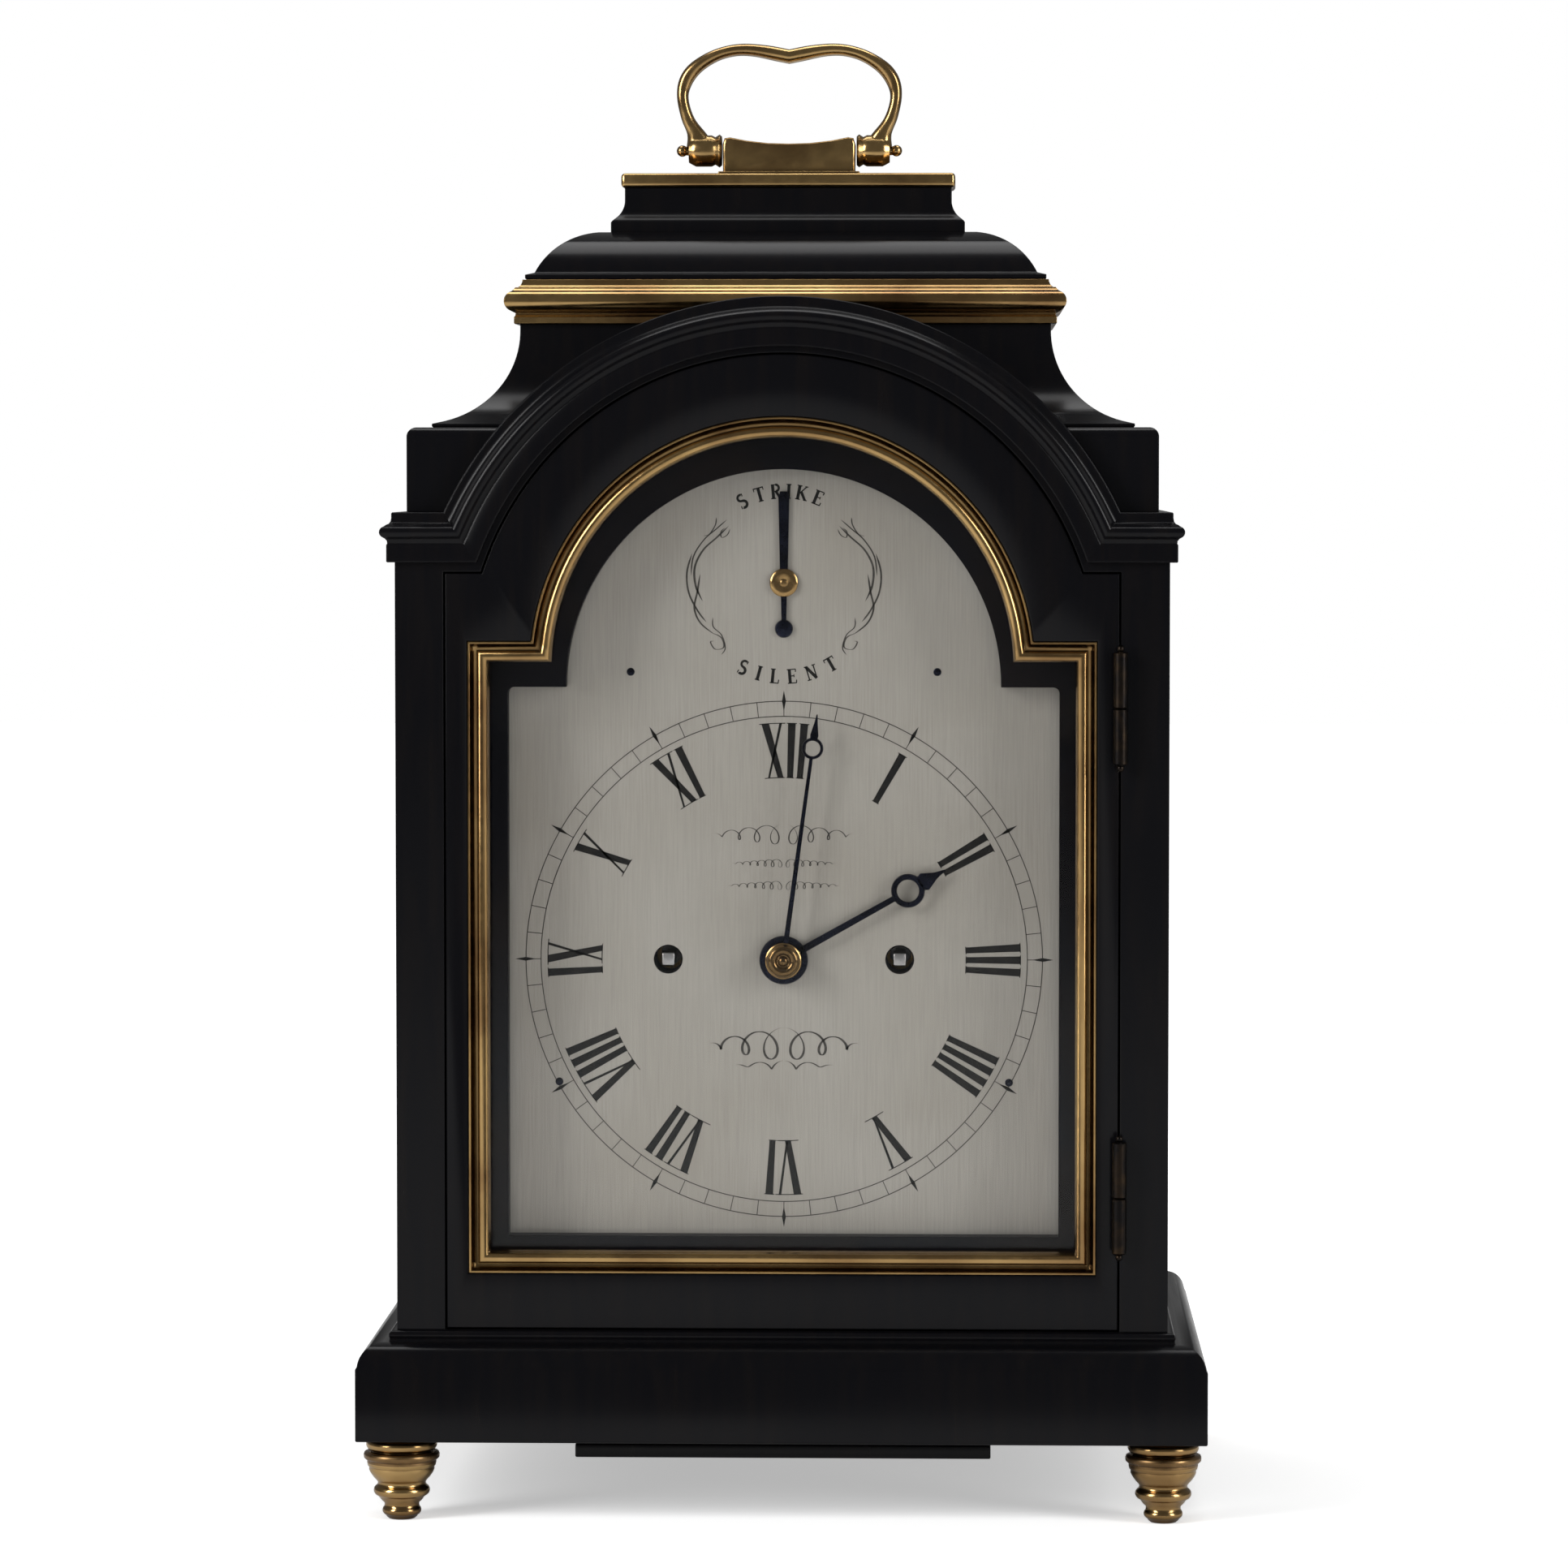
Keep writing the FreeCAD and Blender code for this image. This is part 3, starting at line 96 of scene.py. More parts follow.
def spread(tree, field, low, high, start=0.3, end=0.7):
    node = tree.nodes.new("ShaderNodeMapRange")
    for key, value in (("From Min", start), ("From Max", end), ("To Min", low), ("To Max", high)):
        node.inputs[key].default_value = value
    tree.links.new(field, node.inputs["Value"])
    return node.outputs["Result"]


def mixColours(tree, field, first, second):
    node = tree.nodes.new("ShaderNodeMix")
    node.data_type = "RGBA"
    tree.links.new(field, node.inputs[0])
    for socket, colour in ((node.inputs[6], first), (node.inputs[7], second)):
        if isinstance(colour, bpy.types.NodeSocket):
            tree.links.new(colour, socket)
        else:
            socket.default_value = (*colour, 1)
    return node.outputs[2]


def relief(tree, shader, field, depth, strength=1.0, edge=0.0):
    bump = tree.nodes.new("ShaderNodeBump")
    bump.inputs["Distance"].default_value = depth
    bump.inputs["Strength"].default_value = strength
    tree.links.new(field, bump.inputs["Height"])
    if edge:
        rounding = tree.nodes.new("ShaderNodeBevel")
        rounding.samples = 4
        rounding.inputs["Radius"].default_value = edge
        tree.links.new(rounding.outputs["Normal"], bump.inputs["Normal"])
    tree.links.new(bump.outputs["Normal"], shader.inputs["Normal"])


def woodFinish(name, dark, warm, grain, gloss, shine, edge=0.0006):
    material, tree, shader = newFinish(name)
    streaks = noiseField(tree, 1.0, grain, 5.0, 0.6)
    clouds = noiseField(tree, 9.0, (1, 1, 1), 2.0)
    colour = mixColours(tree, spread(tree, streaks, 0.0, 1.0, 0.42, 0.75), dark, warm)
    tree.links.new(colour, shader.inputs["Base Color"])
    tree.links.new(spread(tree, clouds, gloss[0], gloss[1]), shader.inputs["Roughness"])
    shader.inputs["Specular IOR Level"].default_value = shine
    relief(tree, shader, streaks, 0.00002, 0.35, edge)
    return material


def metalFinish(name, bright, aged, roughness, grain, ageScale, depth=0.00001, edge=0.0):
    material, tree, shader = newFinish(name)
    shader.inputs["Metallic"].default_value = 1.0
    age = noiseField(tree, ageScale, (1, 1, 1), 5.0, 0.4)
    fine = noiseField(tree, 1.0, grain, 2.0)
    colour = mixColours(tree, spread(tree, age, 0.0, 1.0, 0.40, 0.72), bright, aged)
    tree.links.new(colour, shader.inputs["Base Color"])
    rough = spread(tree, fine, roughness[0], roughness[1])
    tree.links.new(rough, shader.inputs["Roughness"])
    relief(tree, shader, fine, depth, 0.6, edge)
    return material


def grooveShadeAndDirt(material, shadeAndDirt, reach, amount):
    # painted shade: darkens what lies deep between mouldings by ambient occlusion, standing for both the shade there
    # and the dirt of old lacquer
    tree = material.node_tree
    shader = next(node for node in tree.nodes if node.type == "BSDF_PRINCIPLED")
    colour = shader.inputs["Base Color"].links[0].from_socket
    depth = tree.nodes.new("ShaderNodeAmbientOcclusion")
    depth.samples = 6
    depth.inputs["Distance"].default_value = reach
    shadeAndDirtMask = spread(tree, depth.outputs["AO"], amount, 0.0, 0.35, 0.9)
    tree.links.new(mixColours(tree, shadeAndDirtMask, colour, shadeAndDirt), shader.inputs["Base Color"])
    return material


def glassFinish(name):
    material, tree, shader = newFinish(name)
    waves = noiseField(tree, 7.0, (1, 1, 1), 1.0)
    shader.inputs["Base Color"].default_value = (0.93, 0.96, 0.95, 1)
    shader.inputs["Metallic"].default_value = 1.0
    shader.inputs["Roughness"].default_value = 0.02
    angle = tree.nodes.new("ShaderNodeLayerWeight")
    angle.inputs["Blend"].default_value = 0.28
    tree.links.new(spread(tree, angle.outputs["Fresnel"], 0.0, 0.35, 0.0, 1.0), shader.inputs["Alpha"])
    relief(tree, shader, waves, 0.0002, 0.2)
    return material


def dialFinish(name):
    material, tree, shader = newFinish(name)
    brushed = noiseField(tree, 1.0, (2600, 400, 60), 3.0)
    clouds = noiseField(tree, 16.0, (1, 1, 1), 3.0)
    silver = mixColours(tree, spread(tree, clouds, 0.0, 1.0), (0.44, 0.420, 0.380), (0.37, 0.345, 0.300))
    colour = mixColours(tree, spread(tree, brushed, 0.0, 0.35), silver, (0.28, 0.265, 0.235))
    tree.links.new(colour, shader.inputs["Base Color"])
    shader.inputs["Metallic"].default_value = 0.35
    tree.links.new(spread(tree, brushed, 0.38, 0.55), shader.inputs["Roughness"])
    relief(tree, shader, brushed, 0.000012, 0.6)
    return material


finishes = {
    "ebonised_wood": woodFinish(
        "ebonisedWood", (0.0024, 0.0024, 0.0032), (0.0040, 0.0034, 0.0036), (240, 240, 22), (0.15, 0.24), 0.13,
    ),
    "oak_board": woodFinish("oakBoard", (0.22, 0.12, 0.06), (0.11, 0.055, 0.025), (8, 260, 260), (0.45, 0.6), 0.3),
    # the brass gets painted shade and dirt in its grooves
    "lacquered_brass": grooveShadeAndDirt(
        metalFinish("lacqueredBrass", (0.40, 0.262, 0.108), (0.19, 0.106, 0.044), (0.15, 0.25), (260, 260, 260), 30,
                    0.000004, 0.0004),
        (0.035, 0.018, 0.008), 0.004, 0.8,
    ),
    "wheel_brass": metalFinish("wheelBrass", (0.70, 0.50, 0.22), (0.52, 0.34, 0.14), (0.25, 0.40),
                               (900, 90, 900), 45),
    "pendulum_brass": metalFinish("pendulumBrass", (0.66, 0.46, 0.19), (0.42, 0.26, 0.10), (0.22, 0.38),
                                  (1400, 300, 80), 40),
    "bell_metal": metalFinish("bellMetal", (0.55, 0.43, 0.24), (0.30, 0.21, 0.11), (0.28, 0.42),
                              (60, 60, 1600), 35),
    "plain_steel": metalFinish("plainSteel", (0.42, 0.42, 0.42), (0.20, 0.17, 0.15), (0.30, 0.46),
                               (1200, 60, 1200), 70),
    "blued_steel": metalFinish("bluedSteel", (0.014, 0.016, 0.028), (0.006, 0.006, 0.008), (0.24, 0.36),
                               (900, 900, 900), 120),
    "silvered_dial": dialFinish("silveredDial"),
    "dark_mask": woodFinish("darkMask", (0.004, 0.004, 0.006), (0.010, 0.007, 0.006), (20, 20, 20), (0.42, 0.5), 0.05),
    "clear_glass": glassFinish("clearGlass"),
}
# a darker, rougher copy of the brass for the feet's upright wide ring: painted shade
shadedBrassBand = metalFinish("shadedBrassBand", (0.22, 0.135, 0.060), (0.10, 0.058, 0.026), (0.26, 0.38), (260, 260, 260), 90,
                        0.000004, 0.0004)
blackenedBrass = metalFinish("blackenedBrass", (0.010, 0.009, 0.009), (0.030, 0.020, 0.012), (0.28, 0.40),
                             (300, 300, 300), 160)
blackWax = woodFinish("blackWax", (0.006, 0.006, 0.006), (0.018, 0.016, 0.014), (700, 700, 700), (0.4, 0.6), 0.2, 0)
greyWax = woodFinish("greyWax", (0.045, 0.042, 0.038), (0.09, 0.083, 0.075), (700, 700, 700), (0.4, 0.6), 0.2, 0)
wood = finishes["ebonised_wood"]
brass = finishes["lacquered_brass"]

movementBrass = metalFinish("movementBrass", (0.52, 0.35, 0.14), (0.42, 0.27, 0.10), (0.26, 0.38), (1400, 1400, 90), 9,
                            0.000006)
slotOf = {item["node"]: item["material_slot"] for item in frame["record"]["subparts"]}
for label, node in frame["nodes"].items():
    node.data.materials.clear()
    inMovement = label in ("front_plate", "back_plate", "plate_pillars", "going_barrel", "strike_barrel", "back_cock")
    node.data.materials.append(movementBrass if inMovement else finishes[slotOf[label]])
print("finishes made")


# shapes are drawn in millimetres and scaled once, when they are placed

def newShape():
    return bmesh.new()


def placePiece(name, shape, body, slot, materials, nodes=(), sharp=38, merge=0.002):
    bmesh.ops.remove_doubles(shape, verts=shape.verts, dist=merge)
    bmesh.ops.recalc_face_normals(shape, faces=shape.faces)
    bmesh.ops.scale(shape, vec=(mm, mm, mm), verts=shape.verts)
    mesh = bpy.data.meshes.new(name)
    shape.to_mesh(mesh)
    shape.free()
    for material in materials:
        mesh.materials.append(material)
    mesh.shade_smooth()
    mesh.set_sharp_from_angle(angle=math.radians(sharp))
    piece = bpy.data.objects.new(name, mesh)
    bpy.context.collection.objects.link(piece)
    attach(piece, body)
    if nodes:
        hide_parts(*nodes)
    return piece


def curve(centre, radius, start, end, steps):
    turns = [math.radians(start + (end - start) * step / steps) for step in range(steps + 1)]
    return [(centre[0] + radius * math.cos(turn), centre[1] + radius * math.sin(turn)) for turn in turns]


def smoothLine(points, steps):
    # a line through every point, with the ends kept
    ends = [points[0]] + list(points) + [points[-1]]
    line = []
    for index in range(1, len(ends) - 2):
        before, start, end, after = (Vector(ends[index + shift]) for shift in (-1, 0, 1, 2))
        for step in range(steps):
            t = step / steps
            line.append(0.5 * (
                2 * start + (end - before) * t + (2 * before - 5 * start + 4 * end - after) * t * t
                + (3 * start - before - 3 * end + after) * t ** 3
            ))
    return line + [Vector(points[-1])]


def closedLoop(shape, points):
    corners = [shape.verts.new(point) for point in points]
    return [shape.edges.new((corners[index - 1], corners[index])) for index in range(len(corners))]


def loft(shape, rings, closed=False, capped=False):
    loops = [closedLoop(shape, ring) for ring in rings]
    pairs = list(zip(loops, loops[1:]))
    if closed:
        pairs.append((loops[-1], loops[0]))
    for first, second in pairs:
        bmesh.ops.bridge_loops(shape, edges=first + second)
    if capped:
        for loop in (loops[0], loops[-1]):
            bmesh.ops.contextual_create(shape, geom=loop)


def mitredFrame(shape, half, profile):
    # the profile's points are (projection, height); it is carried round four mitred corners
    edges = closedLoop(shape, [(-half[0] - out, -half[1] - out, up) for out, up in profile])
    for flip in ((-1, 1), (1, -1), (-1, 1), (1, -1)):
        made = bmesh.ops.extrude_edge_only(shape, edges=edges)["geom"]
        fresh = {item for item in made if isinstance(item, bmesh.types.BMVert)}
        edges = [item for item in made if isinstance(item, bmesh.types.BMEdge) and set(item.verts) <= fresh]
        for vert in fresh:
            vert.co.x *= flip[0]
            vert.co.y *= flip[1]


def turned(shape, profile, centre, steps, axis="Z"):
    # the profile's points are (radius, distance along the axis)
    if axis == "Z":
        points = [(centre[0] + out, centre[1], centre[2] + along) for out, along in profile]
        around = (0, 0, 1)
    elif axis == "Y":
        points = [(centre[0] + out, centre[1] + along, centre[2]) for out, along in profile]
        around = (0, 1, 0)
    else:
        points = [(centre[0] + along, centre[1], centre[2] + out) for out, along in profile]
        around = (1, 0, 0)
    verts = [shape.verts.new(point) for point in points]
    edges = [shape.edges.new(pair) for pair in zip(verts, verts[1:])]
    bmesh.ops.spin(
        shape, geom=verts + edges, cent=centre, axis=around, angle=math.tau, steps=steps, use_merge=True,
    )


def bevelledBox(shape, low, high, radius, segments=3):
    middle = [(a + b) / 2 for a, b in zip(low, high)]
    size = [b - a for a, b in zip(low, high)]
    made = bmesh.ops.create_cube(shape, size=1.0)["verts"]
    bmesh.ops.scale(shape, vec=size, verts=made)
    bmesh.ops.translate(shape, vec=middle, verts=made)
    edges = list({edge for vert in made for edge in vert.link_edges})
    bmesh.ops.bevel(
        shape, geom=edges, offset=radius, affect="EDGES", segments=segments, profile=0.5, material=-1,
    )


def plate(shape, outline, front, back, bevel=0.0, segments=2):
    # a flat piece across the front, from an outline of (across, up)
    corners = [shape.verts.new((x, front, z)) for x, z in outline]
    face = shape.faces.new(corners)
    made = bmesh.ops.extrude_face_region(shape, geom=[face])["geom"]
    fresh = [item for item in made if isinstance(item, bmesh.types.BMVert)]
    bmesh.ops.translate(shape, vec=(0, back - front, 0), verts=fresh)
    if bevel:
        edges = [edge for edge in face.edges]
        bmesh.ops.bevel(
            shape, geom=edges, offset=bevel, affect="EDGES", segments=segments, profile=0.5, material=-1,
        )


def archedOutline(half, low, shoulder, radius, centre, steps=72):
    # square shoulders with a round head, as (across, up)
    spring = math.sqrt(radius ** 2 - (shoulder - centre) ** 2)
    start = math.degrees(math.atan2(shoulder - centre, spring))
    head = curve((0, centre), radius, start, 180 - start, steps)
    return [(-half, low), (half, low), (half, shoulder)] + head + [(-half, shoulder)]


def standing(outline, y):
    return [(x, y, z) for x, z in outline]


woodPieces = ("ebonised_wood", [wood])
brassPieces = ("lacquered_brass", [brass])

# base: a plain plinth with a quarter round and a small bead on top
base = {
    "half": (124.0, 85.0),
    "profile": (
        [(-12, 61.3), (-12, 26.6), (12.1, 26.6), (12.5, 27.0), (12.5, 50.0), (12.3, 50.4)]
        + curve((4.2, 50.2), 7.8, 4, 82, 12)
        + [(4.0, 57.9), (2.7, 57.6), (2.3, 58.0)] + curve((1.0, 59.8), 1.5, -35, 90, 6)
    ),
}


def makeBase(spec):
    shape = newShape()
    mitredFrame(shape, spec["half"], spec["profile"])
    return placePiece("baseMoulding", shape, "case", *woodPieces, ["base_moulding"])


underBoard = {
    "half": (66.5, 74.0),
    "box": ((-67.3, -74.8, 18.4), (67.3, 74.8, 26.5)),
    "bead": [(-3, 22.6), (0.3, 22.6)] + curve((-0.2, 24.6), 1.15, -80, 80, 8) + [(0.4, 26.55), (-3, 26.55)],
}


def makeUnderBoard(spec):
    shape = newShape()
    low, high = spec["box"]
    bevelledBox(shape, (low[0], low[1], low[2]), (high[0], high[1], 22.8), 0.5)
    mitredFrame(shape, spec["half"], spec["bead"])
    return placePiece("underBoard", shape, "case", *woodPieces, ["under_board"])


# each foot is turned in one piece: a torus, a wide ring, a tapering cup and two discs
foot = {
    "centres": [(x, y) for x in (-122.8, 122.8) for y in (-83.8, 83.8)],
    "profile": (
        [(0.0, 26.6), (11.0, 26.6)] + curve((9.4, 24.2), 2.1, 75, -75, 8)
        + [(11.2, 21.9), (12.0, 21.6), (12.3, 20.9), (12.2, 19.9), (11.6, 19.3), (11.1, 19.1), (11.2, 18.3)]
        + [(11.0, 17.3), (10.5, 16.9), (10.6, 16.0), (10.1, 14.9), (9.2, 13.6), (8.1, 12.4), (7.7, 11.7)]
        + [(7.9, 11.1)] + curve((7.3, 9.2), 1.8, 62, -70, 8) + [(7.4, 7.1), (6.6, 6.0), (5.7, 5.2)]
        + [(5.6, 4.7)] + curve((4.7, 2.7), 1.6, 50, -70, 8) + [(4.9, 0.6), (4.2, 0.0), (0.0, 0.0)]
    ),
    "steps": 48,
    "shadedBand": (18.0, 22.0),
}


def makeFeet(spec):
    shape = newShape()
    for x, y in spec["centres"]:
        turned(shape, spec["profile"], (x, y, 0), spec["steps"])
    # faces in the upright wide ring take the darker brass, as painted shade
    low, high = spec["shadedBand"]
    for face in shape.faces:
        face.material_index = int(low < face.calc_center_median().z < high)
    return placePiece("turnedFeet", shape, "case", "lacquered_brass", [brass, shadedBrassBand], ["feet"], sharp=50)


makeBase(base)
makeUnderBoard(underBoard)
makeFeet(foot)
print("base and feet")


# the crown moulding runs round the case and, with the same section, over the hood's arch
crown = (
    [(0, 0), (2.2, 0), (2.5, 0.3), (2.5, 5.6), (2.2, 6.0), (2.3, 6.9), (2.9, 7.6)]
    + curve((2.7, 9.7), 1.9, -60, 72, 10)
    + [(2.6, 12.0), (1.7, 12.4), (1.2, 13.1), (1.0, 14.2), (1.0, 15.7), (0.7, 16.0), (0, 16)]
)
cornice = {"half": (124.0, 85.0), "level": 308.5, "archCentre": 274.0, "archInner": 103.5, "steps": 96}


def meeting(spec, height):
    # where the straight moulding and the arch meet, at one height of the section
    up = spec["level"] + height - spec["archCentre"]
    radius = spec["archInner"] + height
    return math.sqrt(radius ** 2 - up ** 2), math.atan2(up, math.sqrt(radius ** 2 - up ** 2))


def makeCornice(spec):
    halfX, halfY = spec["half"]
    rings = []
    for side in (-1, 1):
        ends = [(side * meeting(spec, up)[0], -halfY - out, spec["level"] + up) for out, up in crown]
        front = [(side * (halfX + out), -halfY - out, spec["level"] + up) for out, up in crown]
        back = [(side * (halfX + out), halfY + out, spec["level"] + up) for out, up in crown]
        rings += [ends, front, back][::-side]
    shape = newShape()
    loft(shape, rings)
    return placePiece("corniceMoulding", shape, "case", *woodPieces, ["cornice_moulding"], merge=0.0)


def makeArch(spec):
    rings = []
    section = crown + [(-8, 16), (-8, 8), (0, 8)]
    for step in range(spec["steps"] + 1):
        ring = []
        for out, up in section:
            start = meeting(spec, max(up, 0))[1]
            angle = start + (math.pi - 2 * start) * step / spec["steps"]
            radius = spec["archInner"] + up
            ring.append((radius * math.cos(angle), -85.0 - out, spec["archCentre"] + radius * math.sin(angle)))
        rings.append(ring)
    shape = newShape()
    loft(shape, rings)
    return placePiece("archMoulding", shape, "case", *woodPieces, ["arch_moulding"])


# case front round the door, and the barrel vault that runs back from it
caseFront = {"outer": (124.0, 61.3, 324.5, 111.5), "inner": (108.5, 61.4, 305.5, 101.5), "centre": 274.0}


def makeCaseFront(spec):
    shape = newShape()
    outer = archedOutline(*spec["outer"], spec["centre"])
    inner = archedOutline(*spec["inner"], spec["centre"])
    loft(shape, [standing(outer, -85), standing(inner, -85), standing(inner, -67.8), standing(outer, -67.8)], True)
    rings = []
    for radius, y in ((111.5, -67.8), (111.5, -42.6), (110.9, -42), (104, -42), (104, -67.8)):
        half = archedOutline(radius + 0.01, 321.0, 324.5, radius, spec["centre"])[3:-1]
        rings.append(standing(half, y))
    strips = [[shape.verts.new(point) for point in ring] for ring in rings]
    edges = [[shape.edges.new(pair) for pair in zip(strip, strip[1:])] for strip in strips]
    for first, second in zip(edges, edges[1:]):
        bmesh.ops.bridge_loops(shape, edges=first + second)
    return placePiece("caseFront", shape, "case", *woodPieces, ["front_frame"])


makeCornice(cornice)
makeArch(cornice)
makeCaseFront(caseFront)
print("crown and case front")


# sound frets in the sides: a sheet pierced with rows of diamonds and small rounds
fret = {"outside": 112.0, "inside": 110.8, "low": (-41.0, 113.0), "cell": (8.2, 8.7), "count": (10, 17)}


def holeRing(middle, reach, power):
    ring = []
    for step in range(16):
        turn = math.tau * step / 16
        c, s = math.cos(turn), math.sin(turn)
        if power is None:
            longest = max(abs(c), abs(s))
            c, s = c / longest, s / longest
        else:
            c, s = math.copysign(abs(c) ** power, c), math.copysign(abs(s) ** power, s)
        ring.append((middle[0] + reach[0] * c, middle[1] + reach[1] * s))
    return ring


def makeFret(spec, side, name):
    shape = newShape()
    wide, high = spec["cell"]
    for column in range(spec["count"][0]):
        for row in range(spec["count"][1]):
            middle = (spec["low"][0] + (column + 0.5) * wide, spec["low"][1] + (row + 0.5) * high)
            edge = holeRing(middle, (wide / 2, high / 2), None)
            even = (column + row) % 2 == 0
            hole = holeRing(middle, (3.6, 3.9) if even else (2.1, 2.1), 1.7 if even else 1.0)
            rings = []
            for outline, x in ((edge, "outside"), (hole, "outside"), (hole, "inside"), (edge, "inside")):
                rings.append([(side * spec[x], y, z) for y, z in outline])
            loft(shape, rings)
    bmesh.ops.remove_doubles(shape, verts=shape.verts, dist=0.01)
    rim = [edge for edge in shape.edges if edge.is_boundary]
    bmesh.ops.bridge_loops(shape, edges=rim)
    placePiece(name, shape, "case", *brassPieces, ["side_frets"])


makeFret(fret, -1, "fretLeft")
makeFret(fret, 1, "fretRight")
print("frets")


# bell top, from the cavetto up to the brass plate
bellTop = {
    "lower": {
        "half": (87.0, 47.0), "node": "bell_lower", "name": "bellCavetto",
        "profile": [(-12, 351.7), (25.6, 351.7), (26, 352.1), (26, 352.9)]
        + curve((30.0, 383.4), 30.6, 262, 182, 22)[1:] + [(-0.6, 384.4), (-0.6, 385.5), (-12, 385.5)],
    },
    "upper": {
        "half": (59.0, 19.0), "node": "bell_upper", "name": "bellOvolo",
        "profile": [(-8, 400), (25.4, 400), (25.9, 400.4), (25.9, 401.6)]
        + curve((0.5, 391.4), 25.0, 26, 84, 16) + [(2.2, 416.2), (-8, 416.2)],
    },
    "neck": {
        "half": (54.0, 14.0), "node": "bell_neck", "name": "bellNeck",
        "profile": [(-12, 416), (4.0, 416), (4.4, 416.4), (4.4, 419.6), (4.0, 420.2)]
        + curve((7.4, 427.0), 7.4, 232, 184, 8) + [(0, 428.0), (0, 431.2), (-12, 431.2)],
    },
    "brass": {
        "half": (87.0, 47.0), "node": "bell_brass_moulding", "name": "brassBand",
        "profile": [(-12, 385.5), (1.0, 385.5), (1.3, 385.8), (1.3, 387.7), (0.9, 388.2), (0.8, 389.0)]
        + curve((1.0, 392.9), 3.4, -70, 72, 14) + [(1.4, 396.7), (0.9, 397.4)]
        + curve((1.6, 399.9), 2.9, 238, 178, 6) + [(-12, 400)],
    },
}


def makeBellTop(spec):
    for part, look in (("lower", woodPieces), ("upper", woodPieces), ("neck", woodPieces), ("brass", brassPieces)):
        item = spec[part]
        shape = newShape()
        mitredFrame(shape, item["half"], item["profile"])
        placePiece(item["name"], shape, "case", *look, [item["node"]])
    shape = newShape()
    bevelledBox(shape, (-55.2, -15.2, 431.2), (55.2, 15.2, 436.0), 1.3, 4)
    placePiece("topPlate", shape, "case", *brassPieces, ["top_plate"])


makeBellTop(bellTop)
print("bell top")


# carrying handle: contours read off the outside and the inside of the right half
handle = {
    "outer": [
        (34.2, 445.2), (34.0, 449.5), (36.0, 454.8), (37.4, 461.8), (36.7, 467.6), (33.6, 472.4),
        (27.8, 476.3), (21.6, 478.6), (15.0, 479.5), (7.0, 478.9), (0.0, 477.6),
    ],
    "inner": [
        (24.0, 445.2), (27.6, 449.8), (31.6, 455.0), (33.5, 461.3), (32.5, 465.8), (29.2, 470.2),
        (23.6, 473.8), (17.6, 475.4), (11.6, 475.2), (5.0, 473.8), (0.0, 472.8),
    ],
    "depth": [3.6, 3.6, 3.3, 3.3, 3.3, 3.4, 3.6, 3.8, 3.9, 4.1, 4.2],
    "knuckle": (22.4, 33.4, 444.0, 5.7),
    "sides": 20,
}


def makeBail(spec):
    shape = newShape()
    steps = 5
    outer = smoothLine([(x, z) for x, z in spec["outer"]], steps)
    inner = smoothLine([(x, z) for x, z in spec["inner"]], steps)
    depth = smoothLine([(value, 0) for value in spec["depth"]], steps)
    half = []
    for out, within, deep in zip(outer, inner, depth):
        middle, reach = (out + within) / 2, (out - within) / 2
        ring = []
        for side in range(spec["sides"]):
            turn = math.tau * side / spec["sides"]
            # a squarish oval, as a cast bar with rounded corners has
            across = math.copysign(abs(math.cos(turn)) ** 0.75, math.cos(turn))
            back = math.copysign(abs(math.sin(turn)) ** 0.75, math.sin(turn))
            point = middle + reach * across
            ring.append((point.x, deep.x * back, point.y))
        half.append(ring)
    other = [[(-x, y, z) for x, y, z in ring] for ring in half[-2::-1]]
    loft(shape, half + other, capped=True)
    left, right, level, radius = spec["knuckle"]
    barrel = [(1.6, left), (radius - 0.9, left), (radius - 0.2, left + 0.8), (radius - 1.1, left + 2.2),
              (radius - 0.5, left + 3.4), (radius - 0.5, right - 2.4), (radius - 1.1, right - 1.2),
              (radius - 1.8, right), (1.6, right)]
    for side in (-1, 1):
        turned(shape, [(r, side * x) for r, x in barrel], (0, 0, level), 36, "X")
    return placePiece("handleBail", shape, "handle", *brassPieces, ["handle_bail"])


mount = {
    "outline": [(21.9, 436.0), (22.0, 446.0), (21.4, 448.0), (19.6, 448.3), (14.0, 447.2), (7.0, 446.4), (0, 446.2)],
    "depth": 5.5,
}


def makeMount(spec):
    right = spec["outline"]
    outline = [(x, z) for x, z in right] + [(-x, z) for x, z in right[-2::-1]]
    shape = newShape()
    plate(shape, outline, -spec["depth"], spec["depth"], 0.9, 3)
    bevelledBox(shape, (-23.5, -6.6, 436.0), (23.5, 6.6, 437.0), 0.4)
    return placePiece("handleMount", shape, "case", *brassPieces, ["handle_mount"])


pivotScrew = {"level": 444.0, "ball": (35.6, 1.9)}


def makePivotScrews(spec):
    shape = newShape()
    head = [(0.0, 33.0), (1.5, 33.0), (1.5, 33.8)]
    middle, radius = spec["ball"]
    head += [(z, x) for x, z in curve((middle, 0), radius, 130, 0, 10)]
    for side in (-1, 1):
        turned(shape, [(r, side * x) for r, x in head], (0, 0, spec["level"]), 28, "X")
    return placePiece("pivotScrews", shape, "case", *brassPieces, ["handle_pivot_screws"])


makeBail(handle)
makeMount(mount)
makePivotScrews(pivotScrew)
print("handle")


# front door: a flat frame with softened edges, and a mitred brass bezel
door = {
    "outline": lambda inset: archedOutline(108 - inset, 61.8 + inset, 305 - inset, 101 - inset, 274.0),
    "opening": lambda inset: archedOutline(101 - inset, 79.5 + inset, 283.3 - inset, 81 - inset, 274.2),
}


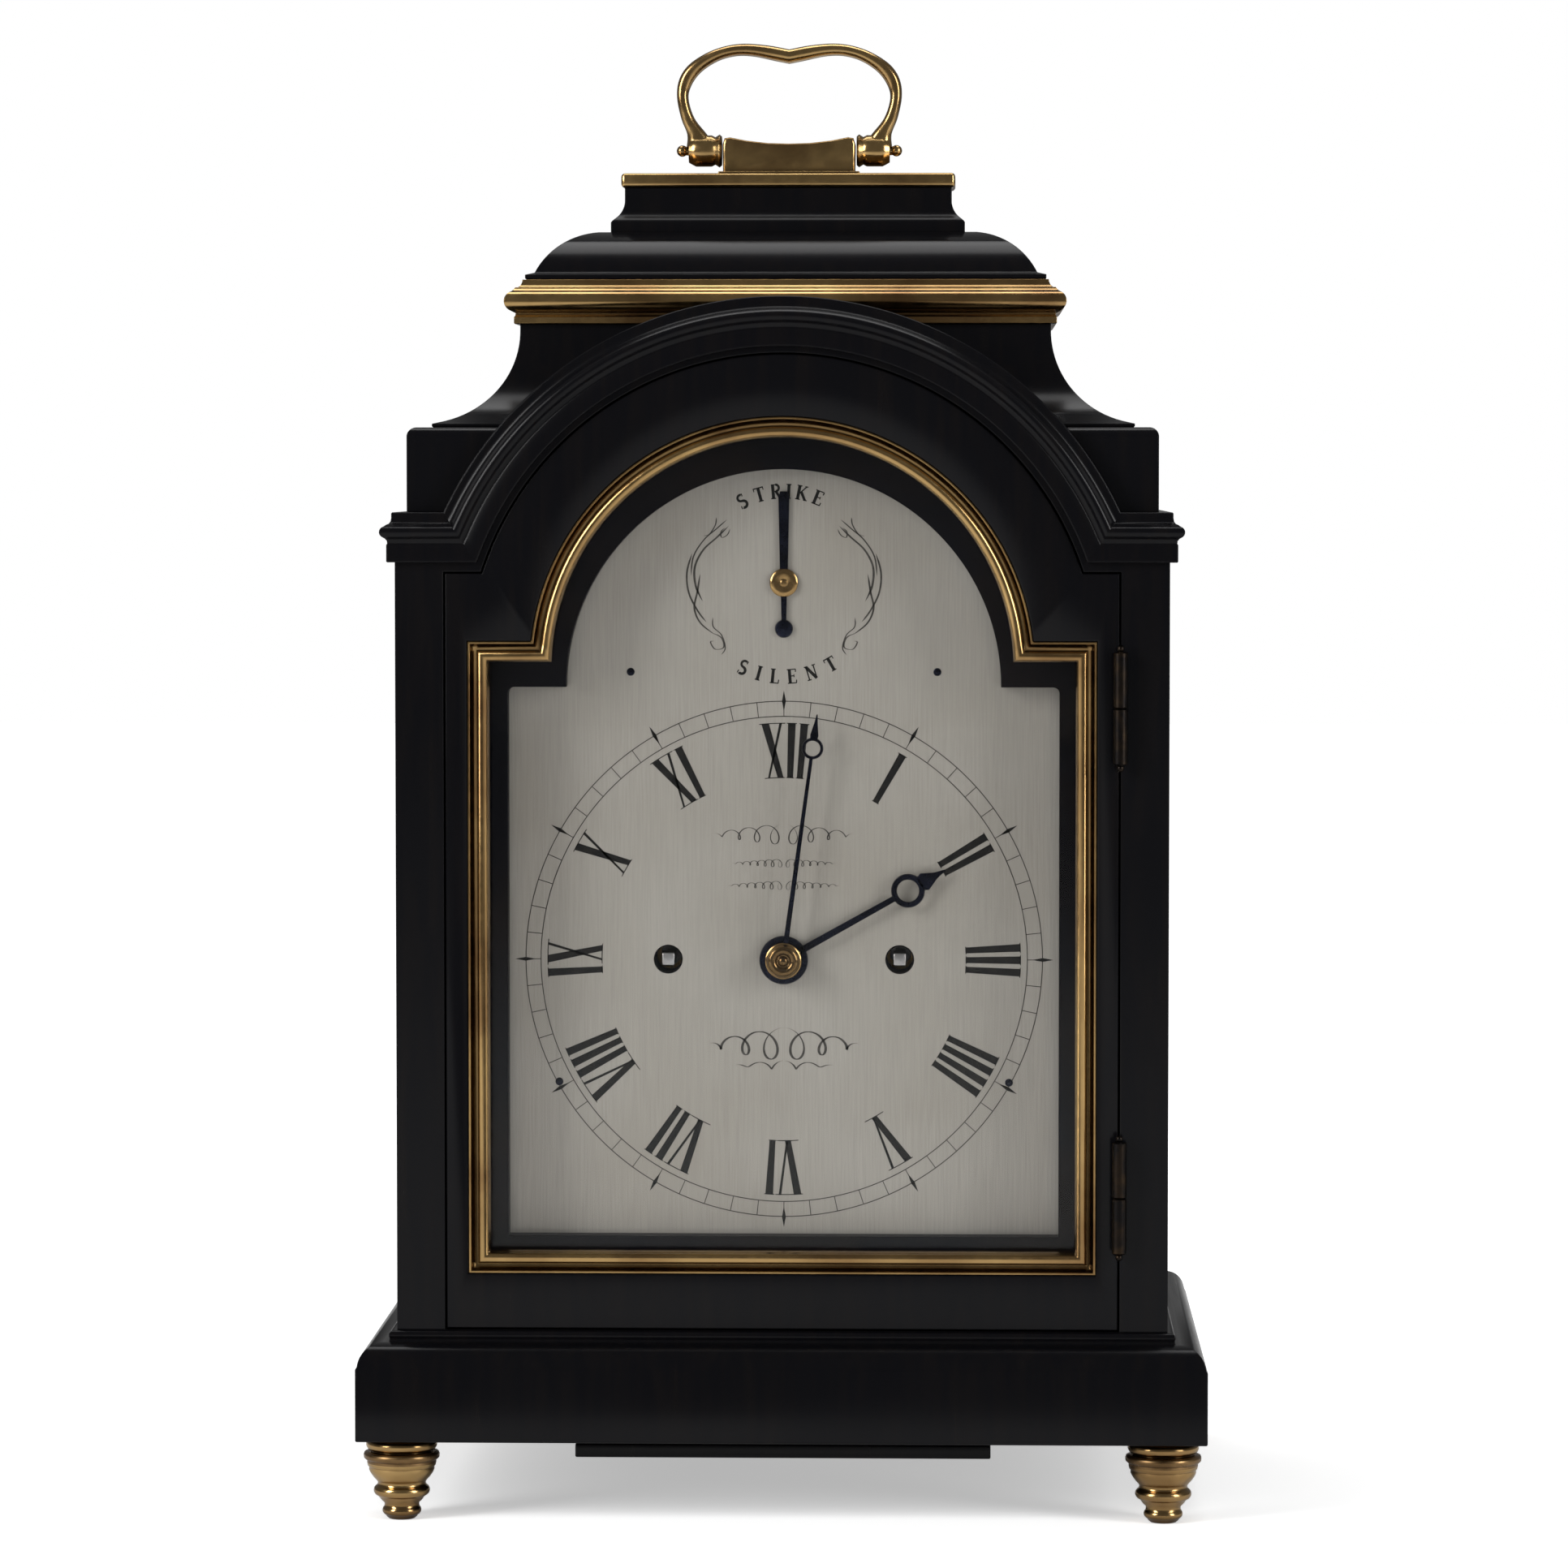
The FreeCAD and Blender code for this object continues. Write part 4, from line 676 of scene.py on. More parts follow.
def makeDoor(spec):
    outline, opening = spec["outline"], spec["opening"]
    rings = [
        standing(outline(0), -68.3), standing(outline(0), -84.3), standing(outline(0.25), -84.8),
        standing(outline(0.8), -85.0), standing(opening(-0.5), -85.0), standing(opening(-0.1), -84.8),
        standing(opening(0), -84.4), standing(opening(0), -73.0), standing(opening(4.6), -73.0),
        standing(opening(4.6), -68.3),
    ]
    shape = newShape()
    loft(shape, rings, True)
    return placePiece("doorFrame", shape, "front_door", *woodPieces, ["front_door_frame"])


bezel = {
    "profile": (
        [(0, -75.0), (0, -84.1), (0.25, -84.4), (0.8, -84.4), (1.05, -84.1), (1.2, -83.3)]
        + [(1.7, -82.5), (2.4, -82.1), (3.1, -82.1)]
        + [(4.85 + 1.7 * math.cos(math.radians(a)), -82.6 - 1.7 * math.sin(math.radians(a))) for a in range(180, -31, -15)]
        + [(6.6, -80.9), (6.8, -80.4), (6.8, -75.0)]
    ),
}


def makeBezel(spec):
    shape = newShape()
    loft(shape, [standing(door["opening"](inset), y) for inset, y in spec["profile"]], True)
    return placePiece("doorBezel", shape, "front_door", *brassPieces, ["front_door_bezel"])


# butt hinges: the front door's are blackened like the case, the rear door's are bright
hinges = {
    "levels": (105.0, 262.0), "half": 18.0, "radius": 2.35, "leaf": (0.26, 1.45), "reach": (3.3, 15.1),
    "front": (108.25, -88.2, 1), "rear": (111.75, 88.2, -1), "screws": (-12.0, 0.0, 12.0),
}


def makeHingeHalf(name, where, owner, body, node, material):
    x, y, back = where
    side = 1 if owner == "case" else -1
    half, radius = hinges["half"], hinges["radius"]
    left, right = sorted(side * edge for edge in hinges["leaf"])
    near, far = sorted(y + back * reach for reach in hinges["reach"])
    neck = sorted((y, y + back * (hinges["reach"][0] + 0.1)))
    shape = newShape()
    for level in hinges["levels"]:
        low, high = (level - half, level - 0.1) if side == back else (level + 0.1, level + half)
        bevelledBox(shape, (x + left, near, level - half), (x + right, far, level + half), 0.12, 1)
        bevelledBox(shape, (x + left, neck[0], low), (x + right, neck[1], high), 0.12, 1)
        knuckle = [(0, low), (radius - 0.35, low), (radius, low + 0.35), (radius, high - 0.35), (radius - 0.35, high),
                   (0, high)]
        turned(shape, knuckle, (x, y, 0), 28)
        for shift in hinges["screws"]:
            face = side * hinges["leaf"][0]
            head = [(0, face + 0.06 * side), (1.5, face + 0.06 * side), (1.7, face - 0.06 * side), (0, face - 0.06 * side)]
            middle = (x, (near + far) / 2, level + shift)
            turned(shape, head, middle, 20, "X")
        if owner == "case":
            for end in (-1, 1):
                tip = [(0.9, level + end * (half - 0.2)), (0.9, level + end * (half + 0.3))]
                tip += [(r, level + end * (half + 1.1 + up)) for r, up in curve((0, 0), 1.2, -40, 90, 6)]
                turned(shape, tip, (x, y, 0), 20)
    return placePiece(name, shape, body, "lacquered_brass", [material], [node])


def makeHinges():
    front, rear = hinges["front"], hinges["rear"]
    makeHingeHalf("frontHingesCase", front, "case", "case", "hinges_case", blackenedBrass)
    makeHingeHalf("frontHingesDoor", front, "door", "front_door", "front_hinges_door", blackenedBrass)
    makeHingeHalf("rearHingesCase", rear, "case", "case", "hinges_case", brass)
    makeHingeHalf("rearHingesDoor", rear, "door", "rear_door", "rear_hinges_door", brass)


makeDoor(door)
makeBezel(bezel)
makeHinges()
print("door")


# mask between the door and the dial
mask = {"outer": (111.8, 62.0, 324.3, 103.7, 274.0), "dial": (89.2, 89.8, 268.0, 70.3)}


def dialOpening(half, low, shoulder, radius, corner=2.2):
    # the dial's outline, with its square shoulders a little rounded
    head = curve((0, shoulder), radius, 0, 180, 72)
    foot = [(-half, low), (half, low)]
    right = curve((half - corner, shoulder - corner), corner, 0, 90, 6)
    left = [(-x, z) for x, z in right[::-1]]
    return foot + right + head + left


def makeMask(spec):
    shape = newShape()
    opening = dialOpening(*spec["dial"])
    outer = archedOutline(*spec["outer"][:4], spec["outer"][4], steps=84)
    front, rear = -67.8, -60.8
    edges = []
    for outline, y in ((outer, front), (opening, front)):
        edges += closedLoop(shape, standing(outline, y))
    bmesh.ops.triangle_fill(shape, use_beauty=True, use_dissolve=False, edges=edges)
    loft(shape, [standing(opening, front), standing(opening, rear)])
    loft(shape, [standing(outer, front), standing(outer, rear)])
    return placePiece("dialMask", shape, "case", "dark_mask", [finishes["dark_mask"]], ["dial_mask"])


makeMask(mask)
print("mask")


# engraving: wax-filled lines, laid on the dial's front face
dialFace = -60.8
waxFront = dialFace - 0.05
engraving = {
    "centre": (0.0, 179.3),
    "rings": [(83.75, 84.05), (78.85, 79.15)],
    "tick": (79.0, 83.9, 0.26),
    "diamond": (80.6, 84.0, 87.4, 1.25),
    "numerals": (59.0, 76.9),
    "hours": ["XII", "I", "II", "III", "IIII", "V", "VI", "VII", "VIII", "IX", "X", "XI"],
    "arch": (0.0, 301.6),
    "words": {
        "STRIKE": (29.6, (-27, -15.5, -5, 3, 11.5, 22), 1),
        "SILENT": (30.4, (-25.6, -15.5, -5.5, 5, 17, 30), -1),
    },
    "letterHeight": 4.7,
    "screws": [(-49.7, 272.7), (49.7, 272.7), (-73.1, 139.3), (73.1, 139.3)],
}


def flatFace(shape, points):
    corners = [shape.verts.new((x, waxFront, z)) for x, z in points]
    return shape.faces.new(corners)


def around(centre, radius, degrees):
    turn = math.radians(degrees)
    return centre[0] + radius * math.sin(turn), centre[1] + radius * math.cos(turn)


def polarPatch(shape, centre, corners):
    # corners are (radius, degrees clockwise from the top)
    flatFace(shape, [around(centre, radius, degrees) for radius, degrees in corners])


def circleLine(shape, centre, inner, outer, start=0.0, end=360.0, steps=180):
    for step in range(steps):
        a = start + (end - start) * step / steps
        b = start + (end - start) * (step + 1) / steps
        polarPatch(shape, centre, [(inner, a), (outer, a), (outer, b), (inner, b)])


def numeralStrokes(text):
    # each stroke: where its foot and its head stand, and how wide it is, in millimetres at mid height
    strokes, serifs, at = [], [], 0.0
    for letter in text:
        if letter == "I":
            strokes.append((at + 1.1, at + 1.1, 2.2))
            serifs.append((at - 0.35, at + 2.55))
            at += 3.6
        elif letter == "V":
            strokes.append((at + 3.7, at + 1.2, 2.2))
            strokes.append((at + 3.9, at + 6.3, 0.75))
            serifs.append((at - 0.3, at + 7.6))
            at += 8.3
        else:
            strokes.append((at + 5.6, at + 1.4, 2.2))
            strokes.append((at + 1.2, at + 5.9, 0.75))
            serifs.append((at - 0.3, at + 7.2))
            at += 8.0
    return strokes, serifs, at - 1.6


def makeNumerals(shape, spec):
    low, high = spec["numerals"]
    middle = (low + high) / 2
    degree = 180 / (math.pi * middle)
    for hour, text in enumerate(spec["hours"]):
        strokes, serifs, width = numeralStrokes(text)
        turn = 30.0 * hour
        for foot, head, thick in strokes:
            a, b = (turn + (value - width / 2) * degree for value in (foot, head))
            half = thick / 2 * degree
            polarPatch(shape, spec["centre"], [(low, a - half), (high, b - half), (high, b + half), (low, a + half)])
        for left, right in serifs:
            a, b = (turn + (value - width / 2) * degree for value in (left, right))
            for radius in (low, high - 0.28):
                steps = 4
                for step in range(steps):
                    c, d = (a + (b - a) * (step + shift) / steps for shift in (0, 1))
                    polarPatch(shape, spec["centre"], [
                        (radius, c), (radius + 0.28, c), (radius + 0.28, d), (radius, d),
                    ])


# capitals in a box one unit high: strokes as (x, y, x, y, width), and bowls as arcs
letters = {
    "S": {"arcs": [((0.30, 0.74), 0.22, 60, 270, 0.13), ((0.30, 0.27), 0.24, 90, -120, 0.15)],
          "strokes": [(0.45, 0.80, 0.47, 1.00, 0.06), (0.10, 0.22, 0.08, 0.0, 0.06)]},
    "T": {"strokes": [(0.36, 0.0, 0.36, 0.98, 0.17), (0.0, 0.95, 0.72, 0.95, 0.07), (0.03, 0.75, 0.03, 0.98, 0.05),
                      (0.69, 0.75, 0.69, 0.98, 0.05), (0.18, 0.03, 0.54, 0.03, 0.06)]},
    "R": {"strokes": [(0.17, 0.0, 0.17, 1.0, 0.17), (0.0, 0.03, 0.34, 0.03, 0.06), (0.05, 0.97, 0.36, 0.97, 0.06),
                      (0.2, 0.52, 0.38, 0.52, 0.06), (0.36, 0.52, 0.62, 0.03, 0.14), (0.55, 0.03, 0.74, 0.03, 0.06)],
          "arcs": [((0.36, 0.745), 0.225, -90, 90, 0.13)]},
    "I": {"strokes": [(0.17, 0.0, 0.17, 1.0, 0.17), (0.0, 0.03, 0.34, 0.03, 0.06), (0.0, 0.97, 0.34, 0.97, 0.06)]},
    "K": {"strokes": [(0.17, 0.0, 0.17, 1.0, 0.17), (0.0, 0.03, 0.34, 0.03, 0.06), (0.0, 0.97, 0.34, 0.97, 0.06),
                      (0.22, 0.42, 0.64, 0.96, 0.07), (0.34, 0.56, 0.68, 0.03, 0.15), (0.54, 0.97, 0.76, 0.97, 0.06),
                      (0.56, 0.03, 0.82, 0.03, 0.06)]},
    "E": {"strokes": [(0.17, 0.0, 0.17, 1.0, 0.17), (0.0, 0.03, 0.62, 0.03, 0.06), (0.0, 0.97, 0.60, 0.97, 0.06),
                      (0.2, 0.52, 0.46, 0.52, 0.06), (0.60, 0.03, 0.62, 0.24, 0.06), (0.58, 0.78, 0.60, 0.97, 0.06),
                      (0.46, 0.42, 0.46, 0.62, 0.05)]},
    "L": {"strokes": [(0.17, 0.0, 0.17, 1.0, 0.17), (0.0, 0.03, 0.60, 0.03, 0.06), (0.0, 0.97, 0.34, 0.97, 0.06),
                      (0.58, 0.03, 0.60, 0.28, 0.06)]},
    "N": {"strokes": [(0.14, 0.0, 0.14, 0.97, 0.07), (0.14, 0.97, 0.66, 0.03, 0.17), (0.66, 0.03, 0.66, 1.0, 0.07),
                      (0.0, 0.03, 0.28, 0.03, 0.06), (0.0, 0.97, 0.2, 0.97, 0.06), (0.54, 0.97, 0.80, 0.97, 0.06)]},
}


def letterPatches(glyph):
    patches = []
    bold = 1.25
    for x0, y0, x1, y1, width in glyph.get("strokes", []):
        along = Vector((x1 - x0, y1 - y0)).normalized()
        side = Vector((-along.y, along.x)) * (width * bold / 2)
        start, end = Vector((x0, y0)), Vector((x1, y1))
        patches.append([start - side, end - side, end + side, start + side])
    for middle, radius, start, end, width in glyph.get("arcs", []):
        outer = curve(middle, radius + width * bold / 2, start, end, 12)
        inner = curve(middle, radius - width * bold / 2, start, end, 12)
        for index in range(12):
            patches.append([Vector(p) for p in (inner[index], outer[index], outer[index + 1], inner[index + 1])])
    return patches


def makeWord(shape, spec, text):
    radius, angles, upright = spec["words"][text]
    height = spec["letterHeight"]
    for letter, degrees in zip(text, angles):
        patches = letterPatches(letters[letter])
        wide = max(point.x for patch in patches for point in patch)
        for patch in patches:
            points = []
            for point in patch:
                across, up = (point.x - wide / 2) * height, (point.y - 0.5) * height
                turn = math.radians(degrees)
                if upright > 0:
                    x = (radius + up) * math.sin(turn) + across * math.cos(turn)
                    z = (radius + up) * math.cos(turn) - across * math.sin(turn)
                else:
                    x = (radius - up) * math.sin(turn) + across * math.cos(turn)
                    z = -(radius - up) * math.cos(turn) + across * math.sin(turn)
                points.append((spec["arch"][0] + x, spec["arch"][1] + z))
            flatFace(shape, points)


# leafy scrolls on both sides of the arch: spines as (radius, degrees from the top), with a width
scrolls = {
    "spines": [
        ([(27.5, 42), (28.0, 52), (29.4, 62), (30.5, 74), (30.2, 86)], 0.5),
        ([(25.6, 44), (26.2, 56), (28.2, 68), (29.3, 80), (28.6, 92), (27.0, 103)], 0.7),
        ([(31.2, 72), (31.6, 84), (31.0, 96), (29.4, 108), (28.2, 117)], 0.6),
        ([(27.3, 84), (28.2, 96), (30.2, 106), (30.0, 116), (28.0, 127)], 0.6),
        ([(24.6, 45), (24.0, 50), (24.9, 54), (26.2, 51), (26.0, 47)], 0.4),
        ([(28.8, 124), (27.0, 131), (28.6, 137), (31.0, 134), (30.6, 129), (29.4, 130)], 0.45),
        ([(25.6, 116), (27.0, 122), (26.4, 130), (28.4, 138), (31.0, 139)], 0.4),
        ([(30.4, 46), (29.0, 50), (28.8, 57), (30.2, 60)], 0.4),
    ],
}

# plain penman's flourishes above and below the hands
flourishes = {
    "first": {"centre": (0.0, 220.0), "wide": 23.0, "high": 7.0, "loops": 4, "width": 0.42},
    "second": {"centre": (0.0, 210.6), "wide": 17.0, "high": 2.8, "loops": 7, "width": 0.30},
    "third": {"centre": (0.0, 203.4), "wide": 18.5, "high": 3.0, "loops": 7, "width": 0.30},
    "lower": {"centre": (0.0, 151.6), "wide": 24.5, "high": 11.0, "loops": 3, "width": 0.85},
    "underline": {"centre": (0.0, 144.8), "wide": 16.0, "high": 3.0, "loops": 2, "width": 0.60},
}


def ribbon(shape, line, width):
    # a stroke that swells in the middle and thins out at both ends
    count = len(line)
    left, right = [], []
    for index, point in enumerate(line):
        along = (line[min(index + 1, count - 1)] - line[max(index - 1, 0)]).normalized()
        slope = abs(along.y) if along.length else 0.0
        swell = width / 2 * (0.30 + 0.70 * slope) * min(1.0, 8 * index / count, 8 * (count - 1 - index) / count)
        side = Vector((-along.y, along.x)) * swell
        left.append(point + side)
        right.append(point - side)
    for index in range(count - 1):
        flatFace(shape, [left[index], left[index + 1], right[index + 1], right[index]])


def makeScrolls(shape, spec):
    for spine, width in scrolls["spines"]:
        line = smoothLine([around((0, 0), radius, degrees) for radius, degrees in spine], 6)
        for side in (-1, 1):
            mirrored = [Vector((side * point.x, spec["arch"][1] + point.y)) for point in line]
            ribbon(shape, mirrored, width)


def makeFlourish(shape, item):
    # loops that grow smaller outwards from the middle, the same on both sides
    steps = 24
    for side in (-1, 1):
        line = []
        for step in range(item["loops"] * steps + 1):
            gone = step / (item["loops"] * steps)
            turn = step / steps * math.tau
            fade = (1 - gone) ** 0.7
            x = side * (item["wide"] * gone + item["high"] * 0.42 * fade * math.sin(turn))
            z = item["high"] * 0.5 * fade * math.cos(turn)
            line.append(Vector((item["centre"][0] + x, item["centre"][1] + z)))
        ribbon(shape, line, item["width"])


def makeMinuteRing(spec):
    shape = newShape()
    for inner, outer in spec["rings"]:
        circleLine(shape, spec["centre"], inner, outer)
    low, high, width = spec["tick"]
    for minute in range(60):
        half = width / 2 * 180 / (math.pi * high)
        degrees = 6.0 * minute
        polarPatch(shape, spec["centre"], [
            (low, degrees - half), (high, degrees - half), (high, degrees + half), (low, degrees + half),
        ])
    return placePiece("minuteRing", shape, "case", "silvered_dial", [greyWax], merge=0.0)


def makeEngraving(spec):
    shape = newShape()
    start, middle, end, wide = spec["diamond"]
    for hour in range(12):
        half = wide / 2 * 180 / (math.pi * middle)
        degrees = 30.0 * hour
        polarPatch(shape, spec["centre"], [
            (start, degrees), (middle, degrees - half), (end, degrees), (middle, degrees + half),
        ])
    makeNumerals(shape, spec)
    for text in spec["words"]:
        makeWord(shape, spec, text)
    return placePiece("dialEngraving", shape, "case", "silvered_dial", [blackWax], merge=0.0)


def makeFineEngraving(spec):
    shape = newShape()
    makeScrolls(shape, spec)
    for item in flourishes.values():
        makeFlourish(shape, item)
    return placePiece("dialScrolls", shape, "case", "silvered_dial", [greyWax], merge=0.0)


winding = {"offset": 37.6, "height": 179.3, "square": 2.1, "front": -60.7, "tube": (4.3, 4.75, -60.87, -46.0)}


def makeWinding(spec):
    shape = newShape()
    # painted shade: a black tube in each winding hole keeps the hole dark
    inner, outer, front, back = spec["tube"]
    lip = [(outer, front + 0.1), (outer - 0.1, front), (inner + 0.1, front), (inner, front + 0.1), (inner, back),
           (outer, back), (outer, front + 0.1)]
    for side in (-1, 1):
        turned(shape, lip, (side * spec["offset"], 0, spec["height"]), 40, "Y")
    placePiece("windingHoleShade", shape, "case", "silvered_dial", [finishes["dark_mask"]])
    half = spec["square"]
    for side, name, body in ((-1, "strikeSquare", "fusee_strike"), (1, "goingSquare", "fusee_going")):
        across, up = side * spec["offset"], spec["height"]
        shape = newShape()
        bevelledBox(shape, (across - half, spec["front"], up - half), (across + half, -50.0, up + half), 0.55, 3)
        placePiece(name, shape, body, "plain_steel", [finishes["plain_steel"]])


def makeDialScrews(spec):
    shape = newShape()
    head = [(0.0, -0.30), (0.9, -0.30), (1.25, -0.12), (1.3, 0.0)]
    for x, z in spec["screws"]:
        turned(shape, head, (x, dialFace, z), 20, "Y")
    return placePiece("dialScrews", shape, "case", "blued_steel", [finishes["blued_steel"]])


makeMinuteRing(engraving)
makeEngraving(engraving)
makeFineEngraving(engraving)
makeWinding(winding)
makeDialScrews(engraving)
print("dial")


# hands, drawn upright round their arbor and then turned
def turnedShape(shape, degrees, centre):
    bmesh.ops.rotate(
        shape, cent=(0, 0, 0), matrix=Matrix.Rotation(math.radians(degrees), 3, "Y"), verts=shape.verts,
    )
    bmesh.ops.translate(shape, vec=(centre[0], 0, centre[1]), verts=shape.verts)


def ringPlate(shape, inner, outer, up, front, back, steps=40):
    middle = (front + back) / 2
    profile = [(inner, middle), (inner + 0.25, front), (outer - 0.25, front), (outer, middle), (outer, back),
               (inner, back), (inner, middle)]
    turned(shape, profile, (0, 0, up), steps, "Y")


hourHand = {
    "angle": 60.7, "front": -64.4, "back": -63.4, "boss": 7.9, "ring": (3.6, 5.5, 46.2),
    "shaft": [(1.15, 5.0), (0.95, 41.0)], "tip": [(2.3, 50.6), (3.0, 52.4), (1.1, 56.4), (0.25, 60.0)],
}
minuteHand = {
    "angle": 7.8, "front": -67.6, "back": -66.6, "boss": 4.4, "ring": (2.5, 3.5, 69.5),
    "shaft": [(0.85, 3.0), (0.55, 66.4)], "tip": [(1.1, 72.4), (1.35, 73.8), (0.6, 77.5), (0.15, 80.6)],
}


def makeHand(name, node, body, spec):
    shape = newShape()
    front, back = spec["front"], spec["back"]
    for side in ("shaft", "tip"):
        right = spec[side]
        outline = right + [(-x, z) for x, z in right[::-1]]
        plate(shape, outline, front, back, 0.12, 1)
    inner, outer, level = spec["ring"]
    ringPlate(shape, inner, outer, level, front, back)
    ringPlate(shape, 2.4, spec["boss"], 0.0, front, back)
    turnedShape(shape, spec["angle"], engraving["centre"])
    return placePiece(name, shape, body, "blued_steel", [finishes["blued_steel"]], [node], merge=0.0)


collet = {
    "profile": (
        [(0, -70.6), (0.8, -70.55), (1.3, -70.2), (1.7, -69.7), (2.1, -69.65)]
        + [(x, -y) for x, y in curve((3.6, 69.0), 1.6, 155, 5, 10)] + [(5.4, -68.3), (5.9, -68.0), (5.9, -67.6), (0, -67.6)]
    ),
}


def makeCollet(spec):
    shape = newShape()
    turned(shape, spec["profile"], (0, 0, 179.3), 40, "Y")
    return placePiece("handCollet", shape, "minute", *brassPieces, ["hand_collet"])


pointer = {
    "front": -62.1, "back": -61.1, "blade": [(1.25, 3.0), (1.75, 27.5), (1.2, 29.5)],
    "tail": [(0.75, -12.2), (1.0, -3.0)], "ball": (2.95, -14.9), "boss": 4.6,
}


def makePointer(spec):
    shape = newShape()
    front, back = spec["front"], spec["back"]
    for part in ("blade", "tail"):
        right = spec[part]
        plate(shape, right + [(-x, z) for x, z in right[::-1]], front, back, 0.12, 1)
    radius, level = spec["ball"]
    ball = [(0, front - 0.3), (radius * 0.6, front - 0.15), (radius * 0.92, front + 0.2), (radius, back), (0, back)]
    turned(shape, ball, (0, 0, level), 28, "Y")
    turnedShape(shape, 0.0, engraving["arch"])
    placePiece("silencePointer", shape, "silence", "blued_steel", [finishes["blued_steel"]], ["silence_pointer"],
               merge=0.0)
    shape = newShape()
    radius = spec["boss"]
    head = [(0, -62.5), (1.0, -62.4), (1.2, -62.2), (radius - 1.6, -62.5), (radius - 0.5, -62.4),
            (radius, -62.0), (radius, -61.1), (0, -61.1)]
    turned(shape, head, (0, 0, engraving["arch"][1]), 36, "Y")
    placePiece("pointerBoss", shape, "silence", *brassPieces)


makeHand("hourHand", "hour_hand", "hour", hourHand)
makeHand("minuteHand", "minute_hand", "minute", minuteHand)
makeCollet(collet)
makePointer(pointer)
print("hands")


# behind the dial: bell, fusee cones, pendulum and the screws of the back plate
movement = {
    "bell": [(0, 330.5), (7, 329.8), (14, 327.6), (20.5, 323.2), (25, 317.0), (27.6, 310.0), (29.1, 304.6),
             (29.6, 303.2), (29.1, 303.0), (28.0, 305.0), (26.2, 310.4), (23.6, 316.4), (19.4, 321.8),
             (13.4, 325.9), (7, 328.0), (0, 328.6)],
    "cone": [(22.6, -26.2), (21.1, -14.8), (17.6, -1.8), (12.6, 12.1)],
    "grooves": 14,
    "bob": [(0, -4.0), (5, -3.8), (10, -3.1), (14.5, -1.9), (17.3, -0.8), (18, 0), (17.3, 0.8), (14.5, 1.9), (10, 3.1),
            (5, 3.8), (0, 4.0)],
    "bobLevel": 59.5, "plane": 45.0, "rod": (76.0, 252.5),
    "screws": [(72, 112), (-72, 112), (70, 220), (-70, 220), (15, 271.5), (-15, 271.5)],
}


def makeBell(spec):
    shape = newShape()
    turned(shape, spec["bell"], (0, 0, 0), 64)
    placePiece("bellDome", shape, "case", "bell_metal", [finishes["bell_metal"]], ["bell"])


def makeFuseeCones(spec):
    line = smoothLine(spec["cone"], 40)
    first, last = line[0].y, line[-1].y
    for side, name, body in ((-1, "strikeFuseeCone", "fusee_strike"), (1, "goingFuseeCone", "fusee_going")):
        profile = [(0, first), (line[0].x, first)]
        for point in line[1:-1]:
            turn = (point.y - first) / (last - first) * spec["grooves"] * math.tau
            profile.append((point.x + 0.45 * math.cos(turn), point.y))
        profile += [(line[-1].x, last), (0, last)]
        shape = newShape()
        turned(shape, profile, (side * 37.6, 0, 179.3), 48, "Y")
        placePiece(name, shape, body, "plain_steel", [finishes["plain_steel"]])


def makePendulum(spec):
    shape = newShape()
    level, plane = spec["bobLevel"], spec["plane"]
    turned(shape, spec["bob"], (0, plane, level), 64, "Y")
    low, high = spec["rod"]
    turned(shape, [(0, low), (1.1, low + 0.3), (1.1, high), (0, high)], (0, plane, 0), 20)
    nut = [(0, 37.6), (0.9, 37.8), (0.9, 38.6), (2.9, 38.8), (3.1, 39.2), (3.1, 40.6), (2.9, 41.0), (0.9, 41.2), (0.9, 42.4)]
    turned(shape, nut, (0, plane, 0), 28)
    bevelledBox(shape, (-2.4, plane - 2, 252.0), (2.4, plane + 2, 257.0), 0.4, 2)
    bevelledBox(shape, (-0.12, plane - 2.4, 256.0), (0.12, plane + 2.4, 269.9), 0.02, 1)
    placePiece("pendulumBob", shape, "pendulum", "pendulum_brass", [finishes["pendulum_brass"]], ["pendulum"])


def makePlateScrews(spec):
    shape = newShape()
    for x, z in spec["screws"]:
        face = 34.5 if abs(x) == 15 else 31.5
        head = [(0, face + 1.0), (1.8, face + 0.95), (2.6, face + 0.6), (2.8, face), (0, face)]
        turned(shape, head, (x, 0, z), 28, "Y")
    placePiece("backPlateScrews", shape, "case", "blued_steel", [finishes["blued_steel"]])


makeBell(movement)
makeFuseeCones(movement)
makePendulum(movement)
makePlateScrews(movement)
print("movement")


